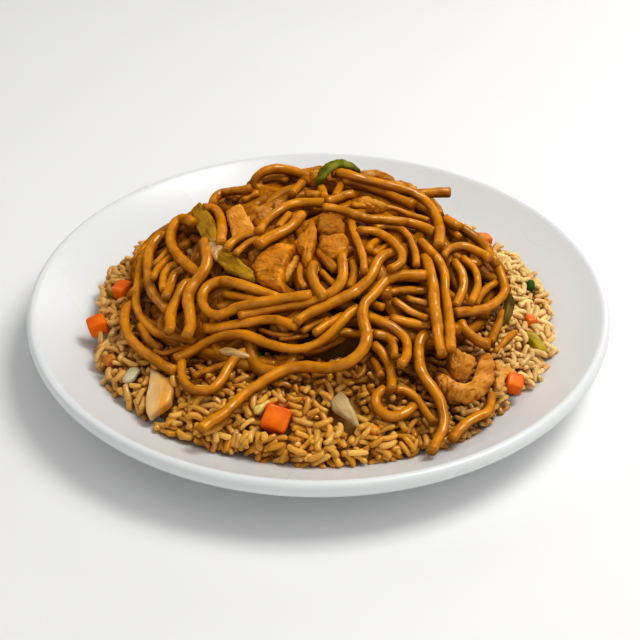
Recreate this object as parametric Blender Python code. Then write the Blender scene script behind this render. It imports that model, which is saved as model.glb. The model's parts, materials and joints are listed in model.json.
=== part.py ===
"""Lo mein: a heap of thick sauced noodles on fried rice, served in a white coupe plate.

Sizes are in millimetres and turn into metres where a mesh is made.  The origin is the middle
of the plate's foot on the table, +Z is up, and the diner sits at -Y.
"""
import math

import bmesh
import bpy
import numpy as np

for leftover in list(bpy.data.objects):
    bpy.data.objects.remove(leftover, do_unlink=True)

# ---------------------------------------------------------------- driving sizes, in mm
MM = 0.001
GAP = 0.5

PLATE_RADIUS = 120.0
PLATE_HEIGHT = 25.0
CREST_RADIUS = 117.5
FLOOR_RADIUS = 70.0
FLOOR_HEIGHT = 6.5
WALL_POWER = 1.8
FOOT_RADIUS = 64.5
PLATE_SECTORS = 48

RICE_CENTRE = (1.0, -5.0)
RICE_RADIUS = 101.0
RICE_TOP = 32.0
RICE_EDGE = 14.0
RICE_POWER = 3.0
RICE_THIN = 2.0
RICE_PLATE_GAP = 0.6
GRAIN_DENT = 2.3
RICE_SECTORS = 112
RICE_RINGS = 10
RICE_COVERED_RADIUS = 60.0
RICE_TILT = 0.5
TRENCH_REACH = 8.5
PIT_REACH = 7.0

HEAP_CENTRE = (1.0, 6.0)
HEAP_HALF_X = 82.0
HEAP_HALF_Y = 75.0
HEAP_TOP = 65.0
HEAP_BASE = 18.0
HEAP_INNER_POWER = 2.3
HEAP_OUTER_POWER = 0.62
CORE_DEPTH = 5.2
CORE_THIN = 1.5
CORE_SECTORS = 44

NOODLE_RADIUS = 3.2
NOODLE_SIDES = 6
NOODLE_STEP = 6.6
NOODLE_SHORTEST = 11.0
STRAND_ON_RICE = 1.2

rng = np.random.default_rng(20)


# ---------------------------------------------------------------- the heights of the dish
def plate_inside(x, y):
    """Height of the plate's inner face: a flat floor, then a wall that rises as a power."""
    climb = (np.hypot(x, y) - FLOOR_RADIUS) / (CREST_RADIUS - FLOOR_RADIUS)
    return FLOOR_HEIGHT + (PLATE_HEIGHT - FLOOR_HEIGHT) * np.clip(climb, 0.0, 1.0) ** WALL_POWER


def rice_top(x, y):
    """Height of the bed of rice: flat in the middle and falling as a cube towards its edge."""
    share = np.hypot(x - RICE_CENTRE[0], y - RICE_CENTRE[1]) / RICE_RADIUS
    return RICE_EDGE + (RICE_TOP - RICE_EDGE) * (1.0 - np.clip(share, 0.0, 1.04) ** RICE_POWER)


def heap_share(x, y):
    """0 at the middle of the noodle heap, 1 at its elliptic foot."""
    return np.hypot((x - HEAP_CENTRE[0]) / HEAP_HALF_X, (y - HEAP_CENTRE[1]) / HEAP_HALF_Y)


def heap_top(x, y):
    """Height of the noodle heap: broad on top, steep at its foot."""
    share = np.clip(heap_share(x, y), 0.0, 1.0)
    crown = (1.0 - share ** HEAP_INNER_POWER) ** HEAP_OUTER_POWER
    return HEAP_BASE + (HEAP_TOP - HEAP_BASE) * crown


def core_top(x, y):
    """Height of the bare core that the strands lie on."""
    return heap_top(x, y) - CORE_DEPTH


def strand_height(x, y):
    """Height of a strand's middle, on the heap, on the rice or against the plate's wall."""
    on_heap = np.where(heap_share(x, y) < 1.0, heap_top(x, y) - NOODLE_RADIUS, 0.0)
    on_rice = rice_top(x, y) + STRAND_ON_RICE
    outward = 1.0 + NOODLE_RADIUS / np.hypot(x, y)
    on_plate = plate_inside(x * outward, y * outward) + RICE_PLATE_GAP + RICE_THIN + NOODLE_RADIUS
    return np.maximum(np.maximum(on_heap, on_rice), on_plate)


# ---------------------------------------------------------------- making meshes
def material(name, colour, roughness):
    """A plain finish of one colour."""
    finish = bpy.data.materials.new(name)
    finish.use_nodes = True
    shader = finish.node_tree.nodes["Principled BSDF"]
    shader.inputs["Base Color"].default_value = (*colour, 1.0)
    shader.inputs["Roughness"].default_value = roughness
    return finish


def solid(name, points, faces, finish, sharp_angle=35.0):
    """An object from points in mm, with its faces turned outwards and shaded smooth."""
    mesh = bpy.data.meshes.new(name)
    mesh.from_pydata((np.asarray(points) * MM).tolist(), [], faces)
    shell = bmesh.new()
    shell.from_mesh(mesh)
    bmesh.ops.recalc_face_normals(shell, faces=shell.faces)
    shell.to_mesh(mesh)
    shell.free()
    mesh.shade_smooth()
    mesh.set_sharp_from_angle(angle=math.radians(sharp_angle))
    mesh.materials.append(finish)
    item = bpy.data.objects.new(name, mesh)
    bpy.context.scene.collection.objects.link(item)
    return item


def stack_rings(rings, middle_first, middle_last):
    """Points and faces of a closed skin: rings of equal count, closed by a point at each end."""
    count = len(rings[0])
    points = np.vstack([middle_first] + list(rings) + [middle_last])
    last = len(points) - 1
    faces = []
    for k in range(count):
        after = (k + 1) % count
        faces.append((0, 1 + after, 1 + k))
        faces.append((last, last - count + k, last - count + after))
        for ring in range(len(rings) - 1):
            low = 1 + ring * count
            high = low + count
            faces.append((low + k, low + after, high + after, high + k))
    return points, faces


def smooth_route(route, step):
    """Evenly spaced points on a Catmull-Rom curve through the route's own points."""
    knots = np.asarray(route, dtype=float)
    padded = np.vstack([2 * knots[0] - knots[1], knots, 2 * knots[-1] - knots[-2]])
    pieces = []
    for k in range(len(knots) - 1):
        p0, p1, p2, p3 = padded[k:k + 4]
        t = np.linspace(0.0, 1.0, 24, endpoint=False)[:, None]
        pieces.append(0.5 * (2 * p1 + (p2 - p0) * t + (2 * p0 - 5 * p1 + 4 * p2 - p3) * t ** 2
                             + (3 * p1 - p0 - 3 * p2 + p3) * t ** 3))
    dense = np.vstack(pieces + [knots[-1:]])
    along = np.concatenate([[0.0], np.cumsum(np.linalg.norm(np.diff(dense, axis=0), axis=1))])
    count = max(3, int(round(along[-1] / step)) + 1)
    even = np.linspace(0.0, along[-1], count)
    return np.column_stack([np.interp(even, along, dense[:, axis]) for axis in range(3)])


def tube(path, radius, sides):
    """Rings of a round strand carried along a path, with flat cut ends."""
    tangents = np.gradient(path, axis=0)
    tangents /= np.linalg.norm(tangents, axis=1)[:, None]
    across = np.cross(tangents, (0.0, 0.0, 1.0))
    across /= np.linalg.norm(across, axis=1)[:, None]
    upward = np.cross(across, tangents)
    turn = 2 * math.pi * (np.arange(sides) + 0.5) / sides
    rings = (path[:, None, :]
             + radius * np.cos(turn)[None, :, None] * across[:, None, :]
             + radius * np.sin(turn)[None, :, None] * upward[:, None, :])
    return stack_rings(list(rings), path[:1], path[-1:])


# ---------------------------------------------------------------- the plate
def make_plate(finish):
    """A coupe plate, turned from one profile: foot ring, swept wall, rolled lip, inner bowl."""
    underside = [(60.0, 2.2), (61.5, 0.0), (FOOT_RADIUS, 0.0), (66.5, 2.6),
                 (82.0, 4.0), (97.0, 8.4), (110.0, 14.4), (116.5, 18.6)]
    lip = [(119.3, 20.4), (PLATE_RADIUS, 22.6), (119.3, 24.4), (CREST_RADIUS, PLATE_HEIGHT)]
    inner_radii = [113.5, 107.0, 99.0, 90.0, 80.0, FLOOR_RADIUS]
    inside = [(r, float(plate_inside(r, 0.0))) for r in inner_radii]
    turn = 2 * math.pi * np.arange(PLATE_SECTORS) / PLATE_SECTORS
    rings = [np.column_stack([r * np.cos(turn), r * np.sin(turn), np.full(PLATE_SECTORS, z)])
             for r, z in underside + lip + inside]
    points, faces = stack_rings(rings, [(0.0, 0.0, 2.2)], [(0.0, 0.0, FLOOR_HEIGHT)])
    return solid("plate", points, faces, finish)


# ---------------------------------------------------------------- toppings
class Topping:
    """A cut piece that sits on the heap's bare core or in the bed of rice."""

    def __init__(self, name, finish, place, size, heading, bed="heap", sink=0.0, square=3.0,
                 arch=0.0, taper=0.0, rise=0.0):
        self.name = name
        self.finish = finish
        self.length, self.width, self.thick = size
        self.square = square
        self.arch = arch
        self.taper = taper
        ground = core_top if bed == "heap" else rice_top
        x, y = place
        reach = 3.0
        slope_x = (ground(x + reach, y) - ground(x - reach, y)) / (2 * reach)
        slope_y = (ground(x, y + reach) - ground(x, y - reach)) / (2 * reach)
        tilt = 1.0 if bed == "heap" else RICE_TILT
        self.up = np.array([-slope_x * tilt, -slope_y * tilt, 1.0])
        self.up /= np.linalg.norm(self.up)
        angle = math.radians(heading)
        along = np.array([math.cos(angle), math.sin(angle), 0.0])
        along -= self.up * along.dot(self.up)
        self.along = along / np.linalg.norm(along)
        self.across = np.cross(self.up, self.along)
        lift = GAP - sink + rise + arch
        self.seat = np.array([x, y, float(ground(x, y))]) + self.up * lift
        self.in_rice = bed == "rice"

    def make(self):
        """Four rings of a squared-off oval, a little uneven as a knife leaves it."""
        count = 8
        turn = 2 * math.pi * (np.arange(count) + 0.5) / count
        power = 2.0 / self.square
        a = np.sign(np.cos(turn)) * np.abs(np.cos(turn)) ** power
        b = np.sign(np.sin(turn)) * np.abs(np.sin(turn)) ** power
        uneven = 1.0 + rng.uniform(-0.07, 0.03, count)
        rings = []
        for share, height in ((0.84, 0.0), (1.0, 0.22), (1.0, 0.75), (0.8, 1.0)):
            far = a * share * uneven
            wide = b * share * uneven * (1.0 - self.taper * far)
            sag = self.arch * (b * share) ** 2
            rings.append(self.seat
                         + np.outer(far * self.length / 2, self.along)
                         + np.outer(wide * self.width / 2, self.across)
                         + np.outer(height * self.thick - sag, self.up))
        bottom = self.seat[None, :]
        top = (self.seat + self.up * self.thick * 1.02)[None, :]
        points, faces = stack_rings(rings, bottom, top)
        return solid(self.name, points, faces, self.finish)

    def covers(self, x, y, margin):
        """True where a point of the plan is within the margin of this piece's footprint."""
        dx = x - self.seat[0]
        dy = y - self.seat[1]
        plan = math.hypot(self.along[0], self.along[1])
        far = (dx * self.along[0] + dy * self.along[1]) / plan
        wide = (dy * self.along[0] - dx * self.along[1]) / plan
        grown_far = np.abs(far) / (self.length / 2 + margin)
        grown_wide = np.abs(wide) / (self.width / 2 + margin)
        return grown_far ** 4 + grown_wide ** 4 < 1.0

    def underside(self, x, y):
        """Height of the plane that this piece's lowest points lie in."""
        run = self.up[0] * (x - self.seat[0]) + self.up[1] * (y - self.seat[1])
        return self.seat[2] - self.arch - run / self.up[2]


class Ribbon:
    """A round strip that bends through 3-D points: the chicken curl and the green ring."""

    def __init__(self, name, finish, path, radius, sides):
        self.name = name
        self.finish = finish
        self.path = path
        self.radius = radius
        self.sides = sides
        self.in_rice = False

    def make(self):
        points, faces = tube(self.path, self.radius, self.sides)
        return solid(self.name, points, faces, self.finish)

    def covers(self, x, y, margin):
        """True where a point of the plan is within the margin of this strip."""
        gaps = np.hypot(np.subtract.outer(x, self.path[:, 0]), np.subtract.outer(y, self.path[:, 1]))
        return gaps.min(axis=-1) < self.radius + margin


CHICKEN = material("chicken", (0.56, 0.27, 0.08), 0.5)
CELERY = material("celery", (0.36, 0.30, 0.03), 0.35)
CARROT = material("carrot", (0.83, 0.20, 0.02), 0.35)
ONION = material("onion", (0.70, 0.44, 0.16), 0.3)
GREENS = material("greens", (0.16, 0.20, 0.02), 0.35)

CHICKEN_ON_HEAP = {
    "chicken_slice_large": ((-17.8, -30.4), (22.0, 14.8, 7.5), 98),
    "chicken_slab_left": ((-30.6, -3.8), (20.0, 9.8, 7.0), 104),
    "chicken_strip_middle": ((-5.2, -18.6), (16.0, 7.6, 7.5), 84),
    "chicken_round_back": ((6.0, -11.4), (11.5, 10.5, 7.5), 0),
    "chicken_cube_front": ((7.0, -24.6), (12.2, 11.0, 8.5), -4),
    "chicken_sliver": ((-6.9, -33.0), (9.5, 3.8, 4.5), 75),
    "chicken_bit_back": ((-19.8, 3.0), (9.0, 6.5, 6.0), 60),
    "chicken_bit_deep": ((-27.2, -18.2), (6.0, 4.6, 5.5), 20),
    "chicken_crown": ((-3.5, 35.5), (9.0, 7.0, 8.5), 5),
    "chicken_crown_right": ((26.2, 34.0), (15.5, 6.5, 8.0), -12),
    "chicken_tail": ((41.0, 26.0), (12.0, 6.0, 7.5), -22),
    "chicken_long": ((21.8, 8.0), (14.0, 6.2, 6.0), -12),
    "chicken_bit_left": ((-49.6, -15.0), (8.0, 4.2, 5.0), 95),
}

toppings = [Topping(name, CHICKEN, place, size, heading)
            for name, (place, size, heading) in CHICKEN_ON_HEAP.items()]
toppings += [
    Topping("celery_upper", CELERY, (-46.8, 2.0), (26.0, 8.5, 5.0), 115, arch=1.2, square=4.0),
    Topping("celery_lower", CELERY, (-31.4, -28.8), (13.5, 9.0, 5.0), -58, arch=1.2,
            square=4.0),
    Topping("celery_joint", ONION, (-40.6, -17.8), (7.0, 6.2, 5.0), 100, square=3.0),
    Topping("carrot_front", CARROT, (-16.0, -83.0), (10.0, 9.6, 9.0), 12, "rice", 3.5, 5.0),
    Topping("carrot_left_low", CARROT, (-90.0, -20.0), (7.8, 7.4, 6.6), 20, "rice", 0.8, 5.0),
    Topping("carrot_left_high", CARROT, (-85.0, 0.6), (7.4, 6.6, 6.2), 60, "rice", 1.0, 5.0),
    Topping("carrot_bit_left", CARROT, (-80.8, -45.0), (4.8, 4.2, 4.2), 35, "rice", 0.0, 5.0),
    Topping("carrot_right", CARROT, (74.8, -59.4), (6.6, 6.6, 6.6), 84, "rice", 1.0, 5.0),
    Topping("carrot_back_right", CARROT, (75.4, 40.6), (7.0, 7.0, 7.0), 20, "rice", 2.0, 5.0),
    Topping("celery_right", CELERY, (86.0, -33.5), (11.2, 4.8, 4.6), -62, "rice", 0.2, 4.0,
            arch=0.6),
    Topping("green_bit_right", GREENS, (88.9, 4.2), (6.0, 3.6, 4.4), 85, "rice", 0.0),
    Topping("green_slab_right", GREENS, (79.8, -17.5), (15.0, 4.4, 6.0), 78, "rice", 0.6, 4.0),
    Topping("onion_slice_left", ONION, (-60.4, -67.4), (20.0, 9.0, 4.5), 97, "rice", 0.0, 3.0,
            arch=1.0, taper=0.15),
    Topping("onion_petal_front", ONION, (9.5, -80.5), (15.5, 10.5, 2.6), 112, "rice", 0.8, 2.5,
            arch=1.2, taper=0.45),
    Topping("onion_bit_left", ONION, (-71.6, -54.6), (8.0, 4.6, 3.0), 60, "rice", 0.8, 2.5),
    Topping("chicken_in_curl", CHICKEN, (55.3, -56.8), (10.0, 7.6, 8.5), 92, "rice", 0.0, 3.5),
    Topping("chicken_edge_right", CHICKEN, (74.0, -50.4), (7.0, 6.0, 6.0), 40, "rice", 1.0),
]

CURL_RADIUS = 3.6
CURL_PLAN = [(47.8, -63.0), (49.8, -68.0), (55.3, -71.3), (61.1, -68.0), (64.8, -60.5),
             (65.0, -52.0)]
curl_route = [(x, y, float(rice_top(x, y)) + GAP + CURL_RADIUS) for x, y in CURL_PLAN]
toppings.append(Ribbon("chicken_curl", CHICKEN, smooth_route(curl_route, 4.5), CURL_RADIUS, 8))

RING_RADIUS = 1.8
RING_PLAN = [(-0.5, 26.0, 2.6), (0.5, 28.5, 6.4), (4.0, 31.0, 9.6), (8.5, 32.8, 10.4),
             (13.0, 33.3, 8.4), (15.5, 33.6, 4.4)]
ring_route = [(x, y, float(core_top(x, y)) + rise) for x, y, rise in RING_PLAN]
toppings.append(Ribbon("green_ring", GREENS, smooth_route(ring_route, 3.5), RING_RADIUS, 6))

# ---------------------------------------------------------------- the noodles' routes
# Each strand is a list of (x, y) or (x, y, lift), chosen by eye: lift raises it over others.
STRANDS = {
    "hairpin": [(-3, -41.6, 1), (-14.6, -42.3, 1), (-28.8, -42.8), (-37.5, -42.3),
                (-43.2, -39.4), (-45.6, -34), (-43, -30.8), (-37.5, -31.4), (-31, -34),
                (-25, -37.6), (-20, -41)],
    "front_s": [(40.7, -26.8), (34, -28.4), (27.5, -31.4, 1), (22.8, -37, 2), (19, -42, 1),
                (16.5, -47), (18, -53.5), (14, -59.8), (5, -63.6), (-5, -63.4),
                (-14.5, -64.6), (-24, -69), (-32.6, -76), (-41, -83.5)],
    "left_long": [(-55, -49), (-45, -47.8), (-33, -49), (-24, -51.5), (-15, -56),
                  (-5, -58.2), (4, -55), (10, -51), (14, -46)],
    "cross_low": [(29, -20), (25, -24), (21, -30, 1), (15, -39), (6, -44), (-8, -49.5)],
    "cross_high": [(8, -27.5), (9.7, -34), (4, -40.5), (-9, -45.4), (-27.5, -45.2)],
    "front_short": [(-44, -43.6), (-37.5, -46), (-31, -46.8), (-18, -48.4), (-8, -52)],
    "left_drop": [(-46.5, -14.5), (-44.5, -18.5), (-47, -24), (-51, -29), (-51.3, -35),
                  (-51, -41)],
    "left_inner": [(-53, -22.5), (-56, -25), (-58, -31), (-60, -36)],
    "left_loop": [(-57, 27), (-62, 27), (-64.5, 20), (-63, 9), (-59, -2), (-55.5, -11),
                  (-49, -21)],
    "left_outer": [(-67, 23), (-70.5, 16), (-73, 8), (-73, 0), (-71.5, -7), (-70, -13),
                   (-66.5, -20), (-62, -26)],
    "left_bright": [(-78, -2), (-76.5, -13), (-73.5, -20), (-69.7, -26), (-64, -34),
                    (-57.5, -39.6), (-50, -45)],
    "left_edge": [(-80, -10), (-80.5, -18), (-77.5, -29), (-73, -38), (-67.5, -45.5),
                  (-62, -51.5), (-58.5, -55)],
    "left_cup": [(-53.3, -53), (-53, -60.5), (-49.5, -66.5), (-43, -68.4), (-37, -65),
                 (-33, -60.5), (-29.5, -57.5)],
    "arch_top": [(-24, -8), (-19, 1), (-10, 5.8), (-3, 6.8)],
    "arch_over": [(13.5, 1), (22, -0.8), (31, -1.4), (38, -2.2), (45, -2.3)],
    "stub_left": [(-11, -4), (-15.5, -10), (-22.5, -13)],
    "top_loop": [(-13, 35, 1), (-20, 40, 4), (-27, 38, 3), (-30, 32, 1), (-25, 25, 0),
                 (-17, 20.5, 0)],
    "top_back": [(-46, 27), (-46, 34), (-42, 39), (-36, 42), (-29, 44)],
    "slim_down": [(14.5, -8), (17, -17.5), (18, -24), (18.3, -32)],
    "arch_right": [(17, -9.3), (27, -5.8), (32, -7), (35.4, -10.6), (37.6, -16), (38.6, -23)],
    "arch_inner": [(21.5, -12), (28, -13), (32, -17.5), (32, -22), (28.8, -27)],
    "top_long": [(21, 39, 1), (30, 33, 1), (41, 27.5), (47.5, 15.5), (50.3, 3), (48, -7)],
    "stick_out": [(44, 31, 2), (51, 33, 8), (58, 34.5, 15)],
    "right_rim": [(53, 15), (60, 17.5), (66.5, 19.5), (71, 16), (73.5, 7), (76.5, -1),
                  (74.5, -10), (70.5, -18.5), (65, -25), (57, -32)],
    "right_arch": [(49.5, -13), (52, -8), (57, -2), (62, 1), (68.5, 4)],
    "down_one": [(41, -9), (44, -12), (48.5, -18.5), (49.7, -28), (50.5, -38), (51, -46)],
    "down_two": [(41.5, -17), (43.2, -24), (44.5, -32), (45.5, -40), (47, -48)],
    "right_bow": [(55, -12), (58, -16), (59, -20), (57.5, -25), (54, -31)],
    "right_hook": [(61, -9.5), (64.5, -13), (64, -18)],
    "right_low": [(55, -35), (58, -38.8), (62, -39.8), (67.5, -40)],
    "front_hang": [(43, -46), (38.5, -50), (38.5, -56.5), (41.6, -64), (44.3, -72),
                   (46, -80), (45, -87), (43, -94)],
    "front_leg": [(21, -55), (24.3, -58.5), (27, -64), (27.6, -70)],
    "front_ring": [(31, -71), (24.5, -72), (21.5, -76.5), (23.5, -81), (29, -83), (35, -80.5)],
    "front_bow": [(18.5, -48.5), (25, -47.8), (30, -49), (34, -52.5), (34, -58)],
    "edge_right": [(49, -88), (54, -83.5), (60.5, -79)],
    "under_long": [(21, 24.5), (30, 23), (40, 19.5)],
    "behind_left": [(-66, 30), (-58, 43), (-48, 50), (-34, 54), (-20, 52)],
    "behind_right": [(66, 30), (57, 45), (44, 56), (30, 60), (14, 58)],
}
# Strands on the side that faces away, as arcs: (x, y), radius, start angle, sweep angle.
BACK_ARCS = [((-40, 60), 13, 200, -215), ((-12, 65), 15, 160, -190), ((17, 68), 14, 350, 205),
             ((44, 61), 13, 130, -200), ((64, 40), 11, 210, 215), ((-62, 40), 11, 20, 230),
             ((4, 74), 15, 15, 150), ((-30, 71), 13, 60, 140), ((72, 27), 9, 250, 190)]


def arc_route(middle, radius, start, sweep):
    """Six points along an arc in the plan."""
    turn = np.radians(start + sweep * np.linspace(0.0, 1.0, 6))
    return [(middle[0] + radius * math.cos(t), middle[1] + radius * math.sin(t)) for t in turn]


def laid_path(route):
    """A route laid on the dish: heights from what carries it, plus the lift."""
    knots = []
    for point in route:
        lift = point[2] if len(point) > 2 else 0.0
        knots.append((point[0], point[1], float(strand_height(point[0], point[1])) + lift))
    return smooth_route(knots, NOODLE_STEP)


def clear_stretches(path):
    """The stretches of a strand that stay clear of every topping and are long enough."""
    blocked = np.zeros(len(path), dtype=bool)
    for topping in toppings:
        blocked |= topping.covers(path[:, 0], path[:, 1], NOODLE_RADIUS + 0.9)
    stretches = []
    begin = None
    for k in range(len(path) + 1):
        free = k < len(path) and not blocked[k]
        if free and begin is None:
            begin = k
        if not free and begin is not None:
            if (k - begin - 1) * NOODLE_STEP >= NOODLE_SHORTEST:
                stretches.append(path[begin:k])
            begin = None
    return stretches


strand_paths = []
for route in list(STRANDS.values()) + [arc_route(*arc) for arc in BACK_ARCS]:
    strand_paths += clear_stretches(laid_path(route))


# ---------------------------------------------------------------- the bed of rice
def edge_radius(angle):
    """How far the rice reaches before it is only a thin layer on the plate's wall."""
    low, high = RICE_COVERED_RADIUS, RICE_RADIUS
    for _ in range(30):
        middle = (low + high) / 2
        x = RICE_CENTRE[0] + middle * math.cos(angle)
        y = RICE_CENTRE[1] + middle * math.sin(angle)
        thickness = rice_top(x, y) - plate_inside(x, y) - RICE_PLATE_GAP
        low, high = (middle, high) if thickness > RICE_THIN else (low, middle)
    return low


def make_rice(finish):
    """A low mound with dents of grain size where it shows, and a seat for what lies in it."""
    turn = 2 * math.pi * np.arange(RICE_SECTORS) / RICE_SECTORS
    reach = np.array([edge_radius(angle) for angle in turn])
    floor_rings = []
    for share in (0.6, 0.82, 1.0):
        x = RICE_CENTRE[0] + share * reach * np.cos(turn)
        y = RICE_CENTRE[1] + share * reach * np.sin(turn)
        floor_rings.append(np.column_stack([x, y, plate_inside(x, y) + RICE_PLATE_GAP]))
    top_rings = []
    for ring in range(RICE_RINGS):
        share = 1.0 - ring / (RICE_RINGS - 1)
        radius = RICE_COVERED_RADIUS + share * (reach - RICE_COVERED_RADIUS)
        swing = 0.5 * (ring % 2) * (turn[1] - turn[0])
        x = RICE_CENTRE[0] + radius * np.cos(turn + swing)
        y = RICE_CENTRE[1] + radius * np.sin(turn + swing)
        dent = GRAIN_DENT * rng.random(RICE_SECTORS) ** 1.3
        if ring == RICE_RINGS - 1:
            dent = 0.0 * dent
        z = rice_top(x, y) - dent
        for path in strand_paths:
            line = smooth_route(path, 1.0)
            gaps = np.hypot(np.subtract.outer(x, line[:, 0]), np.subtract.outer(y, line[:, 1]))
            closest = gaps.min(axis=1)
            near = gaps < closest[:, None] + NOODLE_RADIUS
            under = np.where(near, line[:, 2], np.inf).min(axis=1) - NOODLE_RADIUS - GAP - 0.3
            z = np.where(closest < TRENCH_REACH, np.minimum(z, under), z)
        for topping in toppings:
            if topping.in_rice:
                seat = topping.underside(x, y) - GAP - 0.3
                z = np.where(topping.covers(x, y, PIT_REACH), np.minimum(z, seat), z)
        z = np.maximum(z, plate_inside(x, y) + RICE_PLATE_GAP + 0.8)
        top_rings.append(np.column_stack([x, y, z]))
    middle_low = [(*RICE_CENTRE, FLOOR_HEIGHT + RICE_PLATE_GAP)]
    middle_high = [(*RICE_CENTRE, float(rice_top(*RICE_CENTRE)))]
    points, faces = stack_rings(floor_rings + top_rings, middle_low, middle_high)
    return solid("fried_rice", points, faces, finish)


# ---------------------------------------------------------------- the heap of noodles
def core_reach(angle):
    """Share of the heap's foot at which the core has thinned out on the rice."""
    low, high = 0.5, 1.0
    for _ in range(30):
        middle = (low + high) / 2
        x = HEAP_CENTRE[0] + middle * HEAP_HALF_X * math.cos(angle)
        y = HEAP_CENTRE[1] + middle * HEAP_HALF_Y * math.sin(angle)
        thickness = core_top(x, y) - rice_top(x, y) - GAP
        low, high = (middle, high) if thickness > CORE_THIN else (low, middle)
    return low


def make_core(finish):
    """The heap's smaller core, lying on the rice."""
    turn = 2 * math.pi * np.arange(CORE_SECTORS) / CORE_SECTORS
    reach = np.array([core_reach(angle) for angle in turn])

    def ring(share, ground, lift):
        x = HEAP_CENTRE[0] + share * reach * HEAP_HALF_X * np.cos(turn)
        y = HEAP_CENTRE[1] + share * reach * HEAP_HALF_Y * np.sin(turn)
        return np.column_stack([x, y, ground(x, y) + lift])

    low = [ring(share, rice_top, GAP) for share in (0.4, 0.7, 0.88, 1.0)]
    high = [ring(share, core_top, 0.0) for share in (1.0, 0.93, 0.82, 0.66, 0.46, 0.24)]
    middle_low = [(*HEAP_CENTRE, float(rice_top(*RICE_CENTRE)) + GAP)]
    middle_high = [(*HEAP_CENTRE, float(core_top(*HEAP_CENTRE)))]
    points, faces = stack_rings(low + high, middle_low, middle_high)
    return solid("noodles", points, faces, finish)


def largest_shell_only(item):
    """Keeps the outer body and drops loose scraps and the skins of sealed hollows."""
    shell = bmesh.new()
    shell.from_mesh(item.data)
    bmesh.ops.remove_doubles(shell, verts=shell.verts, dist=0.00002)
    bmesh.ops.dissolve_degenerate(shell, edges=shell.edges, dist=0.00001)
    unseen = set(shell.verts)
    bodies = []
    while unseen:
        body = {unseen.pop()}
        front = list(body)
        while front:
            for edge in front.pop().link_edges:
                for vert in edge.verts:
                    if vert in unseen:
                        unseen.discard(vert)
                        body.add(vert)
                        front.append(vert)
        bodies.append(body)
    bodies.sort(key=len)
    for body in bodies[:-1]:
        bmesh.ops.delete(shell, geom=list(body), context="VERTS")
    shell.to_mesh(item.data)
    shell.free()


def make_noodles(finish):
    """Strands fused onto the core by one union."""
    core = make_core(finish)
    loose = bpy.data.collections.new("strands")
    for number, path in enumerate(strand_paths):
        points, faces = tube(path, NOODLE_RADIUS, NOODLE_SIDES)
        strand = solid("strand_%02d" % number, points, faces, finish)
        bpy.context.scene.collection.objects.unlink(strand)
        loose.objects.link(strand)
    bpy.context.scene.collection.children.link(loose)
    union = core.modifiers.new("fuse", "BOOLEAN")
    union.operation = "UNION"
    union.operand_type = "COLLECTION"
    union.collection = loose
    union.solver = "MANIFOLD"
    bpy.context.view_layer.update()
    graph = bpy.context.evaluated_depsgraph_get()
    fused = bpy.data.meshes.new_from_object(core.evaluated_get(graph))
    core.modifiers.clear()
    core.data = fused
    for strand in list(loose.objects):
        bpy.data.objects.remove(strand, do_unlink=True)
    bpy.data.collections.remove(loose)
    largest_shell_only(core)
    core.data.shade_smooth()
    core.data.set_sharp_from_angle(angle=math.radians(40.0))
    return core


make_plate(material("porcelain", (0.86, 0.86, 0.85), 0.12))
for topping in toppings:
    topping.make()
make_rice(material("rice", (0.66, 0.45, 0.19), 0.6))
make_noodles(material("noodle", (0.58, 0.26, 0.04), 0.35))
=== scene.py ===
# %% [markdown]
# # Lo mein on fried rice
#
# A white coupe plate holds a low bed of fried rice, and on the rice lies a heap of thick,
# sauced noodles with chicken, celery and a curl of green. Food like this is many soft things
# that lie on each other, so the lesson is mostly about laying: every grain, strand and piece
# is put down in turn on a map of how high the dish already is.

# %% load the fixed frame
import functools
import json
import math

import bpy
import numpy as np
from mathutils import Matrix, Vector

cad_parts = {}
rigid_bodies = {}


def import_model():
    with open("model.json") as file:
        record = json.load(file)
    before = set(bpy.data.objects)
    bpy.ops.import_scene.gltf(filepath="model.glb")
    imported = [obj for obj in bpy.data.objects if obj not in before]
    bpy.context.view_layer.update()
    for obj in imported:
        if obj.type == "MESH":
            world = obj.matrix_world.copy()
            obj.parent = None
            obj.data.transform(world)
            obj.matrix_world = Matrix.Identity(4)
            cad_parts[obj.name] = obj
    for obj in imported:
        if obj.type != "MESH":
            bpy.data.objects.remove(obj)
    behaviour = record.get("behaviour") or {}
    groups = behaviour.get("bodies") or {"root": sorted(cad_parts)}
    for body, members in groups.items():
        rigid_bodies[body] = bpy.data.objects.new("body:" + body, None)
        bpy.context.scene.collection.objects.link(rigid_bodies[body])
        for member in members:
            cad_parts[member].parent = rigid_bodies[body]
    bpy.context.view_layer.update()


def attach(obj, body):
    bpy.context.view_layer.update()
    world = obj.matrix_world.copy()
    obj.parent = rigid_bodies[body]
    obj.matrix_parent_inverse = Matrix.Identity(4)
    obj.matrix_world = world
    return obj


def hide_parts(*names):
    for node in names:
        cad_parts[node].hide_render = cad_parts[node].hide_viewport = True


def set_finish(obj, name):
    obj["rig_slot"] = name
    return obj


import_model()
MM = 0.001

# %% [markdown]
# ## The camera
#
# The picture was taken from half a metre away, 35 degrees above the table. With the camera
# known, each place in the picture is a line of sight, and a strand can be put where that line
# meets the food. So the camera comes first, and the strands borrow its lines of sight.

# %% camera
EYE = np.array([0.57, -428.70, 315.91])        # mm
AIM = np.array([0.57, -22.50, 24.35])          # mm
LENS_MM = 69.71
PICTURE = 640
SENSOR_MM = 36.0
ZOOM = LENS_MM / SENSOR_MM * PICTURE           # pixels per unit of slope

UPRIGHT = np.array([0.0, 0.0, 1.0])


def unit(vectors):
    """Vectors brought to length one: each is divided by its own length."""
    return vectors / np.linalg.norm(vectors, axis=-1, keepdims=True)


forward = unit(AIM - EYE)
rightward = unit(np.cross(forward, UPRIGHT))
upward = np.cross(rightward, forward)

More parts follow.
